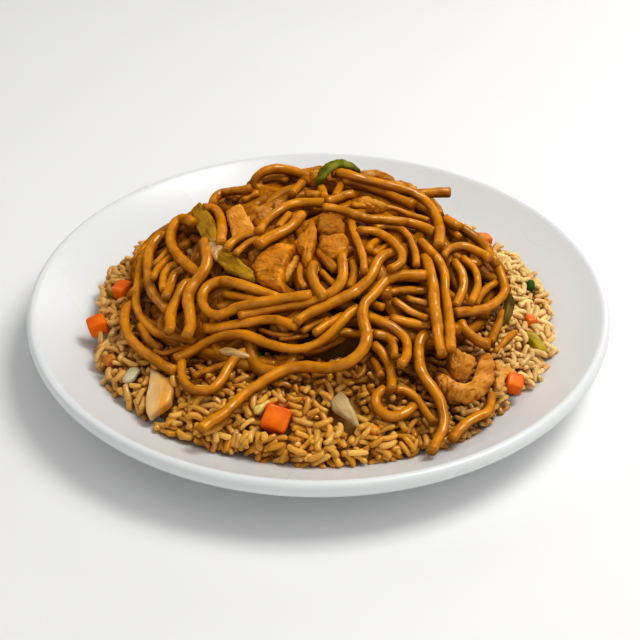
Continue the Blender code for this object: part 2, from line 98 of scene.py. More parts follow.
lens = bpy.data.cameras.new("diner_view")
lens.lens = LENS_MM
lens.sensor_width = SENSOR_MM
lens.clip_start = 0.01
diner = bpy.data.objects.new("diner_view", lens)
diner.location = EYE * MM
diner.rotation_euler = Vector(forward).to_track_quat("-Z", "Y").to_euler()
bpy.context.scene.collection.objects.link(diner)
bpy.context.scene.camera = diner
print("camera", round(float(np.linalg.norm(EYE - AIM))), "mm from the food")


# %% lines of sight
def sight_lines(pixels):
    """Directions from the eye through picture points: forward plus the slopes right and up."""
    pixels = np.asarray(pixels, float)
    slope_x = (pixels[..., 0] - PICTURE / 2) / ZOOM
    slope_y = (PICTURE / 2 - pixels[..., 1]) / ZOOM
    return forward + slope_x[..., None] * rightward + slope_y[..., None] * upward


def at_height(lines, z):
    """The points where lines of sight pass a height: eye plus line times the drop's share."""
    return EYE + lines * ((z - EYE[2]) / lines[..., 2])[..., None]


def seen_at(points):
    """Picture places of points in mm: slopes right and up of the line of sight, times zoom."""
    away = points - EYE
    far_off = away @ forward
    return np.stack([PICTURE / 2 + ZOOM * (away @ rightward) / far_off,
                     PICTURE / 2 - ZOOM * (away @ upward) / far_off], -1)


def spots_down(lines, highest, lowest, step):
    """Heights from the highest down, and the points where each line of sight passes them."""
    heights = np.arange(highest, lowest, -step)[:, None]
    return heights, at_height(np.repeat(lines[None], len(heights), 0),
                              np.repeat(heights, len(lines), 1))


print("the picture's middle looks at", at_height(sight_lines([(320, 320)]), 25.0)[0].round(1))

# %% readers for close-ups
ENLARGED = 9.0                                 # the close-ups were looked at nine times larger


def close_up(left, top):
    """A reader for one close-up of the picture: "x,y x,y" counts from its upper left corner."""
    def read(places):
        pairs = [place.split(",") for place in places.split()]
        return [(left + int(x) / ENLARGED, top + int(y) / ENLARGED) for x, y in pairs]
    return read


A, B, C = close_up(110, 180), close_up(215, 155), close_up(350, 155)
D, E, F = close_up(110, 300), close_up(230, 270), close_up(370, 290)
G, H, J = close_up(225, 375), close_up(480, 255), close_up(30, 225)
print("the middle of close-up A is at picture place", A("900,900")[0])

# %% [markdown]
# ## The forms underneath
#
# Three smooth forms carry everything: the plate's inner face, the bed of rice and the heap.
# They are simple formulas of a place in the plan, so they can be asked anywhere. The heap's
# height falls slowly on top and steeply at its foot, like a loaf's.

# %% forms of plate, rice and heap
PLATE_RADIUS, PLATE_HEIGHT, CREST_RADIUS = 120.0, 25.0, 117.5
FLOOR_RADIUS, FLOOR_HEIGHT, WALL_POWER = 70.0, 6.5, 1.8
RICE_CENTRE, RICE_RADIUS, RICE_TOP, RICE_EDGE = (1.0, -5.0), 101.0, 32.0, 14.0
HEAP_CENTRE, HEAP_HALF_X, HEAP_HALF_Y = (1.0, 6.0), 82.0, 75.0
HEAP_TOP, HEAP_BASE = 65.0, 18.0


def plate_inside(x, y):
    """Height of the plate's inner face: a flat floor, then a wall that rises as a power."""
    climb = (np.hypot(x, y) - FLOOR_RADIUS) / (CREST_RADIUS - FLOOR_RADIUS)
    return FLOOR_HEIGHT + (PLATE_HEIGHT - FLOOR_HEIGHT) * np.clip(climb, 0.0, 1.0) ** WALL_POWER


def rice_top(x, y):
    """Height of the bed of rice: flat in the middle, falling as a cube towards its edge."""
    share = np.hypot(x - RICE_CENTRE[0], y - RICE_CENTRE[1]) / RICE_RADIUS
    return RICE_EDGE + (RICE_TOP - RICE_EDGE) * (1.0 - np.clip(share, 0.0, 1.04) ** 3)


def heap_share(x, y):
    """0 at the middle of the noodle heap, 1 at its elliptic foot."""
    return np.hypot((x - HEAP_CENTRE[0]) / HEAP_HALF_X, (y - HEAP_CENTRE[1]) / HEAP_HALF_Y)


def heap_top(x, y):
    """Height of the noodle heap: broad on top, steep at its foot."""
    share = np.clip(heap_share(x, y), 0.0, 1.0)
    return HEAP_BASE + (HEAP_TOP - HEAP_BASE) * (1.0 - share ** 2.3) ** 0.62


print("middle of rice and heap:", rice_top(0.0, 0.0).round(1), heap_top(0.0, 0.0).round(1), "mm")

# %% [markdown]
# ## Smooth chance
#
# Nothing cooked is even. A few waves with random directions and phases, added up, give a
# smooth unevenness that is the same each run and can be asked at any point.

# %% smooth unevenness
chance = np.random.default_rng(7)


def unevenness(seed, length, dimensions=3, waves=9):
    """A function of points: sine waves about `length` long in random directions, added up."""
    source = np.random.default_rng(seed)
    directions = unit(source.normal(size=(waves, dimensions)))
    lengths = length * source.uniform(0.6, 1.6, waves)
    turns = directions * (2 * math.pi / lengths)[:, None]
    phases = source.uniform(0, 2 * math.pi, waves)
    return lambda points: np.sin(points @ turns.T + phases).sum(axis=-1) / math.sqrt(waves)


print("unevenness at the middle:", round(float(unevenness(1, 5.0)(np.zeros(3))), 3))

# %% [markdown]
# ## From arrays to meshes
#
# Every new piece here is a grid of points with a formula behind it. The helpers below turn
# such grids into Blender meshes in one go. A closed skin is rows of points between two poles,
# and it is turned right way out by the sign of its volume.

# %% skins from grids
def grid_quads(rows, columns, first=0):
    """Faces of a grid whose columns close into a ring: each square joins four neighbours."""
    row = np.arange(rows - 1)[:, None] * columns
    k = np.arange(columns)[None, :]
    after = (k + 1) % columns
    quads = np.stack([row + k, row + after, row + columns + after, row + columns + k], -1)
    return quads.reshape(-1, 4) + first


def closed_skin(rings):
    """Points and faces of a skin of rings (rows, columns, 3), closed by a point at each end.

    The faces are turned by the sign of the enclosed volume, so that they point outwards.
    """
    rows, columns = rings.shape[:2]
    points = np.vstack([rings.reshape(-1, 3), rings[0].mean(0), rings[-1].mean(0)])
    quads = grid_quads(rows, columns)
    k = np.arange(columns)
    after = (k + 1) % columns
    start, end = rows * columns, rows * columns + 1
    last = (rows - 1) * columns
    caps = np.vstack([np.stack([after, k, np.full(columns, start)], -1),
                      np.stack([last + k, last + after, np.full(columns, end)], -1)])
    middle = points.mean(0)
    a, b, c = (points[quads[:, n]] - middle for n in (0, 1, 2))
    a2, b2, c2 = (points[quads[:, n]] - middle for n in (0, 2, 3))
    volume = (np.cross(a, b) * c).sum() + (np.cross(a2, b2) * c2).sum()
    if volume < 0:
        quads = quads[:, ::-1]
        caps = caps[:, ::-1]
    return points, quads, caps


def joined(parts):
    """Several skins as one: points stacked, face numbers moved on by the points before."""
    firsts = np.cumsum([0] + [len(part[0]) for part in parts])
    return (np.vstack([part[0] for part in parts]),
            np.vstack([part[1] + first for part, first in zip(parts, firsts)]),
            np.vstack([part[2] + first for part, first in zip(parts, firsts)]))


print("squares between three rings of six points:", len(grid_quads(3, 6)))


# %% a piece from arrays
def make_piece(name, points, quads, triangles, finish, slot, tint=None, flow=None, sharp=None):
    """A mesh object from arrays in mm, with optional colour and flow (UV) for each point."""
    mesh = bpy.data.meshes.new(name)
    mesh.vertices.add(len(points))
    mesh.vertices.foreach_set("co", (np.asarray(points, float) * MM).ravel())
    corners = np.concatenate([quads.ravel(), triangles.ravel()]).astype(np.int32)
    mesh.loops.add(len(corners))
    mesh.loops.foreach_set("vertex_index", corners)
    sizes = np.concatenate([np.full(len(quads), 4), np.full(len(triangles), 3)])
    starts = np.concatenate([[0], np.cumsum(sizes)[:-1]])
    mesh.polygons.add(len(sizes))
    mesh.polygons.foreach_set("loop_start", starts.astype(np.int32))
    mesh.update(calc_edges=True)
    mesh.validate()
    mesh.shade_smooth()
    if sharp:
        mesh.set_sharp_from_angle(angle=math.radians(sharp))
    if tint is not None:
        colours = np.ones((len(points), 4), np.float32)
        colours[:, :3] = tint
        mesh.attributes.new("tint", "FLOAT_COLOR", "POINT").data.foreach_set(
            "color", colours.ravel())
    if flow is not None:
        mesh.uv_layers.new(name="flow").data.foreach_set(
            "uv", np.asarray(flow, np.float32)[corners].ravel())
    mesh.materials.append(finish)
    item = bpy.data.objects.new(name, mesh)
    bpy.context.scene.collection.objects.link(item)
    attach(item, "root")
    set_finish(item, slot)
    return item


# %% [markdown]
# ## Shared finishes
#
# Cooked food has a few effects in common: blotches where sauce has soaked in, a wet film that
# lies in patches, and fibres. Each is a node group, made once. A group gives out only a
# colour, a value or a height, and the shader that uses it stays in the material.

# %% group helpers
def new_group(name, inputs, outputs):
    """An empty shader group with named sockets; each is (name, kind, default or None)."""
    group = bpy.data.node_groups.new(name, "ShaderNodeTree")
    for title, kind, default in inputs:
        socket = group.interface.new_socket(title, in_out="INPUT", socket_type=kind)
        if default is not None:
            socket.default_value = default
    for title, kind in outputs:
        group.interface.new_socket(title, in_out="OUTPUT", socket_type=kind)
    return group, group.nodes.new("NodeGroupInput"), group.nodes.new("NodeGroupOutput")


def noise_node(tree, vector, scale, detail=3.0, rough=0.55, distortion=0.0):
    """A noise texture that reads the given vector socket."""
    node = tree.nodes.new("ShaderNodeTexNoise")
    node.inputs["Detail"].default_value = detail
    node.inputs["Roughness"].default_value = rough
    node.inputs["Distortion"].default_value = distortion
    tree.links.new(vector, node.inputs["Vector"])
    if isinstance(scale, (int, float)):
        node.inputs["Scale"].default_value = scale
    else:
        tree.links.new(scale, node.inputs["Scale"])
    return node


def range_node(tree, value, low, high, to_low, to_high):
    """A value moved from one range to another, held at the ends."""
    node = tree.nodes.new("ShaderNodeMapRange")
    for title, number in (("From Min", low), ("From Max", high), ("To Min", to_low),
                          ("To Max", to_high)):
        node.inputs[title].default_value = number
    tree.links.new(value, node.inputs["Value"])
    return node.outputs["Result"]


def math_node(tree, kind, first, second):
    """A sum, product or other two-number step; either may be a socket or a number."""
    node = tree.nodes.new("ShaderNodeMath")
    node.operation = kind
    for slot_number, value in enumerate((first, second)):
        if isinstance(value, (int, float)):
            node.inputs[slot_number].default_value = value
        else:
            tree.links.new(value, node.inputs[slot_number])
    return node.outputs[0]


def blend_node(tree, share, first, second, kind="MIX"):
    """A mix of two colours; each may be a socket or an (r, g, b, 1) value."""
    node = tree.nodes.new("ShaderNodeMix")
    node.data_type = "RGBA"
    node.blend_type = kind
    for socket, value in ((node.inputs[0], share), (node.inputs[6], first),
                          (node.inputs[7], second)):
        if isinstance(value, (int, float, tuple)):
            socket.default_value = value
        else:
            tree.links.new(value, socket)
    return node.outputs[2]


# %% group: soaked blotches
soaked, into, out = new_group(
    "soaked_blotches",
    [("Place", "NodeSocketVector", None), ("Colour", "NodeSocketColor", (1, 1, 1, 1)),
     ("Stain", "NodeSocketColor", (0.4, 0.2, 0.1, 1)), ("Size", "NodeSocketFloat", 200.0),
     ("Amount", "NodeSocketFloat", 0.5)],
    [("Colour", "NodeSocketColor"), ("Stained", "NodeSocketFloat")])
broad = noise_node(soaked, into.outputs["Place"], into.outputs["Size"], 4.0, 0.6, 0.4)
edge = range_node(soaked, broad.outputs["Fac"], 0.42, 0.68, 0.0, 1.0)
share = math_node(soaked, "MULTIPLY", edge, into.outputs["Amount"])
mixed = blend_node(soaked, share, into.outputs["Colour"], into.outputs["Stain"])
soaked.links.new(mixed, out.inputs["Colour"])
soaked.links.new(share, out.inputs["Stained"])

# %% group: wet film
wet_film, into, out = new_group(
    "wet_film",
    [("Place", "NodeSocketVector", None), ("Patch Size", "NodeSocketFloat", 150.0),
     ("Wet", "NodeSocketFloat", 0.2), ("Dull", "NodeSocketFloat", 0.5),
     ("Wrinkle Size", "NodeSocketFloat", 900.0)],
    [("Roughness", "NodeSocketFloat"), ("Film", "NodeSocketFloat"),
     ("Height", "NodeSocketFloat")])
patches = noise_node(wet_film, into.outputs["Place"], into.outputs["Patch Size"], 2.0)
film = range_node(wet_film, patches.outputs["Fac"], 0.4, 0.62, 0.0, 1.0)
wrinkles = noise_node(wet_film, into.outputs["Place"], into.outputs["Wrinkle Size"], 2.0, 0.5)
spread = math_node(wet_film, "SUBTRACT", into.outputs["Wet"], into.outputs["Dull"])
drop = math_node(wet_film, "MULTIPLY", film, spread)
wet_film.links.new(math_node(wet_film, "ADD", drop, into.outputs["Dull"]),
                   out.inputs["Roughness"])
wet_film.links.new(film, out.inputs["Film"])
wet_film.links.new(wrinkles.outputs["Fac"], out.inputs["Height"])

# %% group: fibres
fibres, into, out = new_group(
    "fibres",
    [("Flow", "NodeSocketVector", None), ("Stretch", "NodeSocketVector", (60.0, 900.0, 1.0))],
    [("Fibre", "NodeSocketFloat"), ("Height", "NodeSocketFloat")])
stretched = fibres.nodes.new("ShaderNodeVectorMath")
stretched.operation = "MULTIPLY"
fibres.links.new(into.outputs["Flow"], stretched.inputs[0])
fibres.links.new(into.outputs["Stretch"], stretched.inputs[1])
strands = noise_node(fibres, stretched.outputs[0], 1.0, 4.0, 0.6, 0.6)
fibres.links.new(range_node(fibres, strands.outputs["Fac"], 0.35, 0.65, 0.0, 1.0),
                 out.inputs["Fibre"])
fibres.links.new(strands.outputs["Fac"], out.inputs["Height"])
print("shared finishes:", [g.name for g in bpy.data.node_groups])


# %% helpers for materials
def place_group(tree, group, values, **links):
    """A node group in a material, with its own values and links."""
    node = tree.nodes.new("ShaderNodeGroup")
    node.node_tree = group
    for title, value in values.items():
        node.inputs[title].default_value = value
    for title, socket in links.items():
        tree.links.new(socket, node.inputs[title])
    return node


def new_material(name):
    """A material with nodes: itself, its tree, its shader and the place socket it reads."""
    finish = bpy.data.materials.new(name)
    finish.use_nodes = True
    tree = finish.node_tree
    place = tree.nodes.new("ShaderNodeTexCoord").outputs["Object"]
    return finish, tree, tree.nodes["Principled BSDF"], place


def raise_bumps(tree, shader, height, strength, reach_mm):
    """Sends a height through a Bump node to the shader's Normal."""
    lumps = tree.nodes.new("ShaderNodeBump")
    lumps.inputs["Strength"].default_value = strength
    lumps.inputs["Distance"].default_value = reach_mm * MM
    tree.links.new(height, lumps.inputs["Height"])
    tree.links.new(lumps.outputs["Normal"], shader.inputs["Normal"])


# %% a maker for cooked finishes
GLAZE_TINT = (1.0, 0.62, 0.16, 1)              # the sauce colours what it reflects
GLOW_REACH = (1.0, 0.45, 0.15)                 # red light goes deepest into food


def cooked(name, stain, stain_size, stain_amount, wet, dull, patch_size=150.0,
           wrinkle=900.0, bump=0.15, bump_mm=0.15, coat=0.4, coat_rough=0.2,
           glow=0.2, glow_mm=2.0, fibre=None, fibre_colour=None, colour=None, shine=0.35):
    """A moist food finish: a tint with soaked blotches, a patchy film and light below the skin."""
    finish, tree, shader, place = new_material(name)
    values = {"Stain": stain, "Size": stain_size, "Amount": stain_amount}
    if colour is None:
        tint = tree.nodes.new("ShaderNodeAttribute")
        tint.attribute_name = "tint"
        spots = place_group(tree, soaked, values, Place=place, Colour=tint.outputs["Color"])
    else:
        spots = place_group(tree, soaked, {**values, "Colour": colour}, Place=place)
    skin = spots.outputs["Colour"]
    film_node = place_group(tree, wet_film, {"Patch Size": patch_size, "Wet": wet,
                                             "Dull": dull, "Wrinkle Size": wrinkle},
                            Place=place)
    height = film_node.outputs["Height"]
    if fibre:
        flow = tree.nodes.new("ShaderNodeUVMap")
        flow.uv_map = "flow"
        grain = place_group(tree, fibres, {"Stretch": fibre}, Flow=flow.outputs["UV"])
        faint = math_node(tree, "MULTIPLY", grain.outputs["Fibre"], fibre_colour[3])
        skin = blend_node(tree, faint, skin, (*fibre_colour[:3], 1.0))
        height = math_node(tree, "ADD", height, grain.outputs["Height"])
    tree.links.new(skin, shader.inputs["Base Color"])
    tree.links.new(film_node.outputs["Roughness"], shader.inputs["Roughness"])
    slant = tree.nodes.new("ShaderNodeLayerWeight")
    slant.inputs["Blend"].default_value = 0.5
    kept = range_node(tree, slant.outputs["Facing"], 0.15, 0.60, 1.0, 0.0)
    if colour is None:
        kept = math_node(tree, "MULTIPLY", kept,
                         range_node(tree, tint.outputs["Fac"], 0.04, 0.20, 0.12, 1.0))
    gloss = math_node(tree, "MULTIPLY", film_node.outputs["Film"], coat)
    tree.links.new(math_node(tree, "MULTIPLY", gloss, kept), shader.inputs["Coat Weight"])
    tree.links.new(math_node(tree, "MULTIPLY", kept, shine),
                   shader.inputs["Specular IOR Level"])
    raise_bumps(tree, shader, height, bump, bump_mm)
    for title, value in (("Coat Roughness", coat_rough), ("Specular Tint", GLAZE_TINT),
                         ("Subsurface Weight", glow), ("Subsurface Radius", GLOW_REACH),
                         ("Subsurface Scale", glow_mm * MM)):
        shader.inputs[title].default_value = value
    return finish


# %% the cooked finishes
NOODLE = cooked("noodle_glaze", (0.27, 0.058, 0.001, 1), 160.0, 0.6, 0.12, 0.38,
                patch_size=190.0, bump=0.4, bump_mm=0.3, coat=0.5,
                coat_rough=0.05, glow=0.06, glow_mm=1.0, fibre=(110.0, 700.0, 1.0),
                fibre_colour=(0.80, 0.31, 0.004, 0.25), shine=0.6)
RICE = cooked("rice_grain", (0.50, 0.18, 0.010, 1), 90.0, 0.40, 0.16, 0.36, patch_size=260.0,
              bump_mm=0.12, coat=0.55, coat_rough=0.08, glow=0.6, glow_mm=1.6, shine=0.5)
CHICKEN = cooked("braised_chicken", (0.26, 0.075, 0.006, 1), 120.0, 0.5, 0.3, 0.55,
                 patch_size=240.0, wrinkle=1100.0, bump=0.7, bump_mm=0.4, coat=0.2,
                 glow_mm=1.4, fibre=(90.0, 1100.0, 1.0),
                 fibre_colour=(0.86, 0.34, 0.014, 0.35))
CELERY = cooked("celery_stalk", (0.14, 0.06, 0.001, 1), 140.0, 0.5, 0.15, 0.36,
                patch_size=200.0, wrinkle=1000.0, bump=0.55, bump_mm=0.3, coat=0.7,
                coat_rough=0.06, glow=0.25, glow_mm=1.6, fibre=(60.0, 800.0, 1.0),
                fibre_colour=(0.52, 0.23, 0.003, 0.5))
CARROT = cooked("moist_carrot", (0.62, 0.10, 0.002, 1), 160.0, 0.35, 0.2, 0.42, bump=0.3,
                bump_mm=0.2, coat=0.25, coat_rough=0.12, glow_mm=1.2)
ONION = cooked("clear_onion", (0.36, 0.19, 0.05, 1), 120.0, 0.45, 0.2, 0.4, bump=0.2,
               bump_mm=0.2, coat=0.5, coat_rough=0.15, glow=0.35, glow_mm=2.4,
               fibre=(50.0, 500.0, 1.0), fibre_colour=(0.80, 0.58, 0.28, 0.4))
GREENS = cooked("cooked_greens", (0.05, 0.07, 0.004, 1), 200.0, 0.6, 0.2, 0.4, bump=0.5,
                bump_mm=0.3, coat=0.5, coat_rough=0.15, glow_mm=1.0)
# a dark core in the sauce's colour, as painted shade for the deep gaps between strands
SHADE_CORE_FINISH = cooked("painted_shade_below", (0.03, 0.007, 0.001, 1), 120.0, 0.6, 0.5, 0.7,
                    colour=(0.09, 0.027, 0.002, 1), bump=0.6, bump_mm=0.5, coat=0.0, shine=0.2)
# the bed under the grains is sauce-brown and darker than them, as painted shade in the gaps
# between grains
RICE_DARK = cooked("rice_below", (0.06, 0.02, 0.003, 1), 150.0, 0.6, 0.4, 0.6,
                   colour=(0.40, 0.17, 0.022, 1), bump=0.6, bump_mm=0.8, coat=0.1)
print("cooked finishes:", [finish.name for finish in bpy.data.materials])

# %% material: glazed porcelain
GLAZE, tree, shader, place = new_material("porcelain_glaze")
clouds = noise_node(tree, place, 14.0, 1.0)
tree.links.new(blend_node(tree, clouds.outputs["Fac"], (0.735, 0.755, 0.75, 1),
                          (0.75, 0.77, 0.765, 1)), shader.inputs["Base Color"])
raise_bumps(tree, shader, noise_node(tree, place, 45.0, 1.0).outputs["Fac"], 0.04, 0.4)
tree.links.new(range_node(tree, clouds.outputs["Fac"], 0.3, 0.7, 0.24, 0.32),
               shader.inputs["Roughness"])
for title, value in (("IOR", 1.5), ("Coat Weight", 0.06), ("Coat Roughness", 0.12)):
    shader.inputs[title].default_value = value
print("materials:", len(bpy.data.materials))

# %% [markdown]
# ## The plate
#
# A coupe plate is turned on a wheel: one profile, carried round. Its wall sweeps up without a
# flat rim and ends in a rolled lip. The profile is a list of radii and heights, rounded by a
# smooth curve through them, and 240 sectors keep the lip round in the picture.


# %% smooth curves and turned skins
def steps_along(path):
    """The length of the step to each point of a path, nought for the first."""
    return np.concatenate([[0.0], np.linalg.norm(np.diff(path, axis=0), axis=1)])


def smooth_through(knots, count):
    """Evenly spaced points on a Catmull-Rom curve: each stretch is a cubic of four knots."""
    knots = np.asarray(knots, float)
    padded = np.vstack([2 * knots[0] - knots[1], knots, 2 * knots[-1] - knots[-2]])
    t = np.linspace(0.0, 1.0, 16, endpoint=False)[None, :, None]
    p0, p1, p2, p3 = (padded[k:len(padded) - 3 + k, None, :] for k in range(4))
    dense = 0.5 * (2 * p1 + (p2 - p0) * t + (2 * p0 - 5 * p1 + 4 * p2 - p3) * t ** 2
                   + (3 * p1 - p0 - 3 * p2 + p3) * t ** 3)
    dense = np.vstack([dense.reshape(-1, knots.shape[1]), knots[-1:]])
    along = np.cumsum(steps_along(dense))
    even = np.linspace(0.0, along[-1], count)
    return np.column_stack([np.interp(even, along, dense[:, n]) for n in range(knots.shape[1])])


def turned(profile, sectors):
    """A skin turned round the z axis: each profile point (radius, height) becomes a ring."""
    turn = 2 * math.pi * np.arange(sectors) / sectors
    rings = np.stack([profile[:, 0, None] * np.cos(turn), profile[:, 0, None] * np.sin(turn),
                      np.broadcast_to(profile[:, 1, None], (len(profile), sectors))], -1)
    return closed_skin(rings)


print("halfway round a bow:", smooth_through([(0, 0), (1, 1), (2, 0)], 5)[1].round(2))

# %% plate
foot = [(0.5, 2.2), (59.2, 2.2), (60.4, 1.7), (61.2, 0.4), (61.9, 0.0), (64.1, 0.0), (65.0, 0.5),
        (66.3, 2.2)]
wall_below = smooth_through([(66.3, 2.2), (82.0, 3.8), (97.0, 7.9), (110.0, 13.2),
                             (116.3, 16.9), (119.1, 18.9), (120.1, 21.6), (119.4, 24.3),
                             (117.5, 25.0)], 64)
inner_radii = np.linspace(CREST_RADIUS - 1.2, 1.0, 70)
crest_dip = np.exp(-((inner_radii - CREST_RADIUS) / 2.5) ** 2) * 0.15
wall_inside = np.column_stack([inner_radii, plate_inside(inner_radii, 0.0) + crest_dip])
plate_profile = np.vstack([foot, wall_below[1:], wall_inside])
plate = make_piece("plate_turned", *turned(plate_profile, 240), GLAZE, "porcelain", sharp=50)
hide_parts("plate")
print("plate faces:", len(plate.data.polygons))

# %% [markdown]
# ## A map of heights
#
# Laying food is keeping a map: for each small square of the plan, how high is the dish there
# now? A new strand rests where a ball of its own radius would rest on that map, and once it
# lies there, it is drawn into the map for the next one.

# %% height map
CELL = 0.75                                    # mm
HALF = 168                                     # squares from the middle to each side
NOTHING = -99.0                                # a height for places where nothing is
ticks = (np.arange(2 * HALF + 1) - HALF) * CELL
plan_x, plan_y = np.meshgrid(ticks, ticks, indexing="ij")
inside_plate = np.hypot(plan_x, plan_y) < PLATE_RADIUS
level = np.where(inside_plate, plate_inside(plan_x, plan_y), 0.0)
heap_map = np.where(heap_share(plan_x, plan_y) < 1.0, heap_top(plan_x, plan_y), NOTHING)
print("map of", level.shape, "squares of", CELL, "mm")


# %% reading the map
def read_map(heights, x, y):
    """Heights at places between the squares: the mean of four, weighted by nearness."""
    u = np.clip(x / CELL + HALF, 0, 2 * HALF - 1.001)
    v = np.clip(y / CELL + HALF, 0, 2 * HALF - 1.001)
    i, j = u.astype(int), v.astype(int)
    a, b = u - i, v - j
    return ((1 - a) * (1 - b) * heights[i, j] + a * (1 - b) * heights[i + 1, j]
            + (1 - a) * b * heights[i, j + 1] + a * b * heights[i + 1, j + 1])


def window(x, y, margin):
    """The slice of the map around some places, grown by a margin."""
    return tuple(slice(max(int((places.min() - margin) / CELL) + HALF, 0),
                       min(int((places.max() + margin) / CELL) + HALF + 2, 2 * HALF + 1))
                 for places in (x, y))


def rest_heights(heights, radius, part):
    """Where a ball's middle rests: the highest of map plus ball underside over the ball's disc."""
    reach = int(radius / CELL)
    padded = np.pad(heights[part], reach, mode="edge")
    rows, columns = heights[part].shape
    best = np.full((rows, columns), NOTHING)
    for di in range(-reach, reach + 1):
        for dj in range(-reach, reach + 1):
            far = (di * di + dj * dj) * CELL * CELL
            if far < radius * radius:
                shifted = padded[reach + di:reach + di + rows, reach + dj:reach + dj + columns]
                np.maximum(best, shifted + math.sqrt(radius * radius - far), out=best)
    return best


print("floor of the plate on the map:", read_map(level, np.zeros(1), np.zeros(1))[0])


# %% drawing into the map
def draw_tube(path, radius):
    """Raises the map to the top of a round strand: each point stamps a ball's upper side."""
    reach = int(radius / CELL) + 1
    offsets = np.arange(-reach, reach + 1)
    di, dj = np.meshgrid(offsets, offsets, indexing="ij")
    i0 = np.round(path[:, 0] / CELL).astype(int)
    j0 = np.round(path[:, 1] / CELL).astype(int)
    i = i0[:, None, None] + di
    j = j0[:, None, None] + dj
    far = (i * CELL - path[:, 0, None, None]) ** 2 + (j * CELL - path[:, 1, None, None]) ** 2
    top = path[:, 2, None, None] + np.sqrt(np.maximum(radius * radius - far, 0.0))
    ok = (far < radius * radius) & (abs(i) <= HALF) & (abs(j) <= HALF)
    np.maximum.at(level, (i[ok] + HALF, j[ok] + HALF), top[ok])


def draw_points(points):
    """Raises the map to a dense set of points, each in its own square."""
    i = np.clip(np.round(points[:, 0] / CELL).astype(int) + HALF, 0, 2 * HALF)
    j = np.clip(np.round(points[:, 1] / CELL).astype(int) + HALF, 0, 2 * HALF)
    np.maximum.at(level, (i, j), points[:, 2])


# %% [markdown]
# ## Cut pieces
#
# Chicken, celery and carrot are cut with a knife and softened by cooking. Two makers give all
# of them. A chunk is a squared-off ball at its place in the dish. A slab has its outline read
# from the picture: the lines of sight through the outline meet the slab's own plane, and the
# slab goes down from there. Both get a relief along their fibres.

# %% rounded rows and fibres
def signed_power(value, power):
    """A power that keeps the sign: it squares off sines and cosines."""
    return np.sign(value) * np.abs(value) ** power


def rounded_profile(rows, square):
    """How far out and how high each row is: a quarter-turned superellipse, pole to pole."""
    turn = np.linspace(0.0, math.pi, rows + 2)[1:-1]
    turn = turn - 0.12 * np.sin(2 * turn)
    return signed_power(np.sin(turn), 2.0 / square), signed_power(np.cos(turn), 2.0 / square)


def fibre_relief(a, b, seed, period, depth):
    """Ridges along a, side by side along b, bent and broken by unevenness."""
    bend = unevenness(seed, 9.0, 2)(np.stack([a, b], -1))
    broken = 0.6 + 0.4 * unevenness(seed + 1, 5.0, 2)(np.stack([a * 0.5, b], -1))
    return -depth * broken * np.abs(np.sin(math.pi * (b / period + 0.35 * bend))) ** 0.7


print("how far out five rounded rows are:", rounded_profile(5, 4.0)[0].round(2))


# %% relief, tint and skin of a cut piece
def finish_piece(name, rings, seat, along, across, up, options, node=None):
    """Adds relief to rings of points, closes them, tints them and hands them to the scene.

    Relief = broad swelling + fine crumb + fibres + tears along the zero line of a noise. The
    tint follows it: it is darker in the hollows between fibres and in the tears, as painted shade.
    """
    seed = sum(ord(letter) for letter in name)
    a = (rings - seat) @ along
    b = (rings - seat) @ across
    out = rings - seat
    out /= np.linalg.norm(out, axis=-1)[..., None] + 1e-9
    swell = options["lumps"] * unevenness(seed + 2, 5.0)(rings)
    small = options.get("crumb", 0.08) * unevenness(seed + 3, 1.6)(rings)
    ridge, crease = options.get("ridge", 0.2), options.get("crease", 0.0)
    fibre = fibre_relief(a, b, seed + 4, options.get("period", 1.7), ridge)
    drawn_out = np.stack([0.28 * a, b, 0.6 * ((rings - seat) @ up)], -1)
    near_line = np.abs(unevenness(seed + 6, 2.8)(drawn_out)) / 0.20
    torn = -np.clip(1.0 - near_line, 0.0, 1.0) * crease
    rings = rings + out * (swell + small + fibre + torn)[..., None]
    points, quads, caps = closed_skin(rings)
    tone = unevenness(seed + 5, 6.0)(points)[:, None]
    light, dark = np.array(options["light"]), np.array(options["dark"])
    # painted shade: the tint is darker down in the fibres' hollows and in the tears
    groove = (fibre / max(ridge, 0.01) + 0.4 + 0.8 * torn / max(crease, 0.01))
    groove = np.concatenate([groove.ravel(), [0.0, 0.0]])[:, None] * options.get("groove", 0.2)
    mix = np.clip(0.5 + 0.42 * tone + groove, 0, 1)
    tint = dark + (light - dark) * mix
    flow = np.column_stack([(points - seat) @ along, (points - seat) @ across]) * MM
    if "far_side" in options:
        over = np.clip(((points - seat) @ rightward / np.abs(b).max() + 0.12) * 3.0, 0, 1)
        tint = tint + (np.array(options["far_side"]) - tint) * over[:, None]
    item = make_piece(name, points, quads, caps, options["finish"], options["slot"], tint, flow)
    draw_points(rings.reshape(-1, 3))
    if node:
        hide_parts(node)
    return item


def slope_up(ground, x, y, tilt):
    """The upright of a sloping ground: level across its own fall, leaned by the tilt."""
    reach = 3.0
    fall_x = (ground(x + reach, y) - ground(x - reach, y)) / (2 * reach)
    fall_y = (ground(x, y + reach) - ground(x, y - reach)) / (2 * reach)
    return unit(np.array([-float(fall_x) * tilt, -float(fall_y) * tilt, 1.0]))


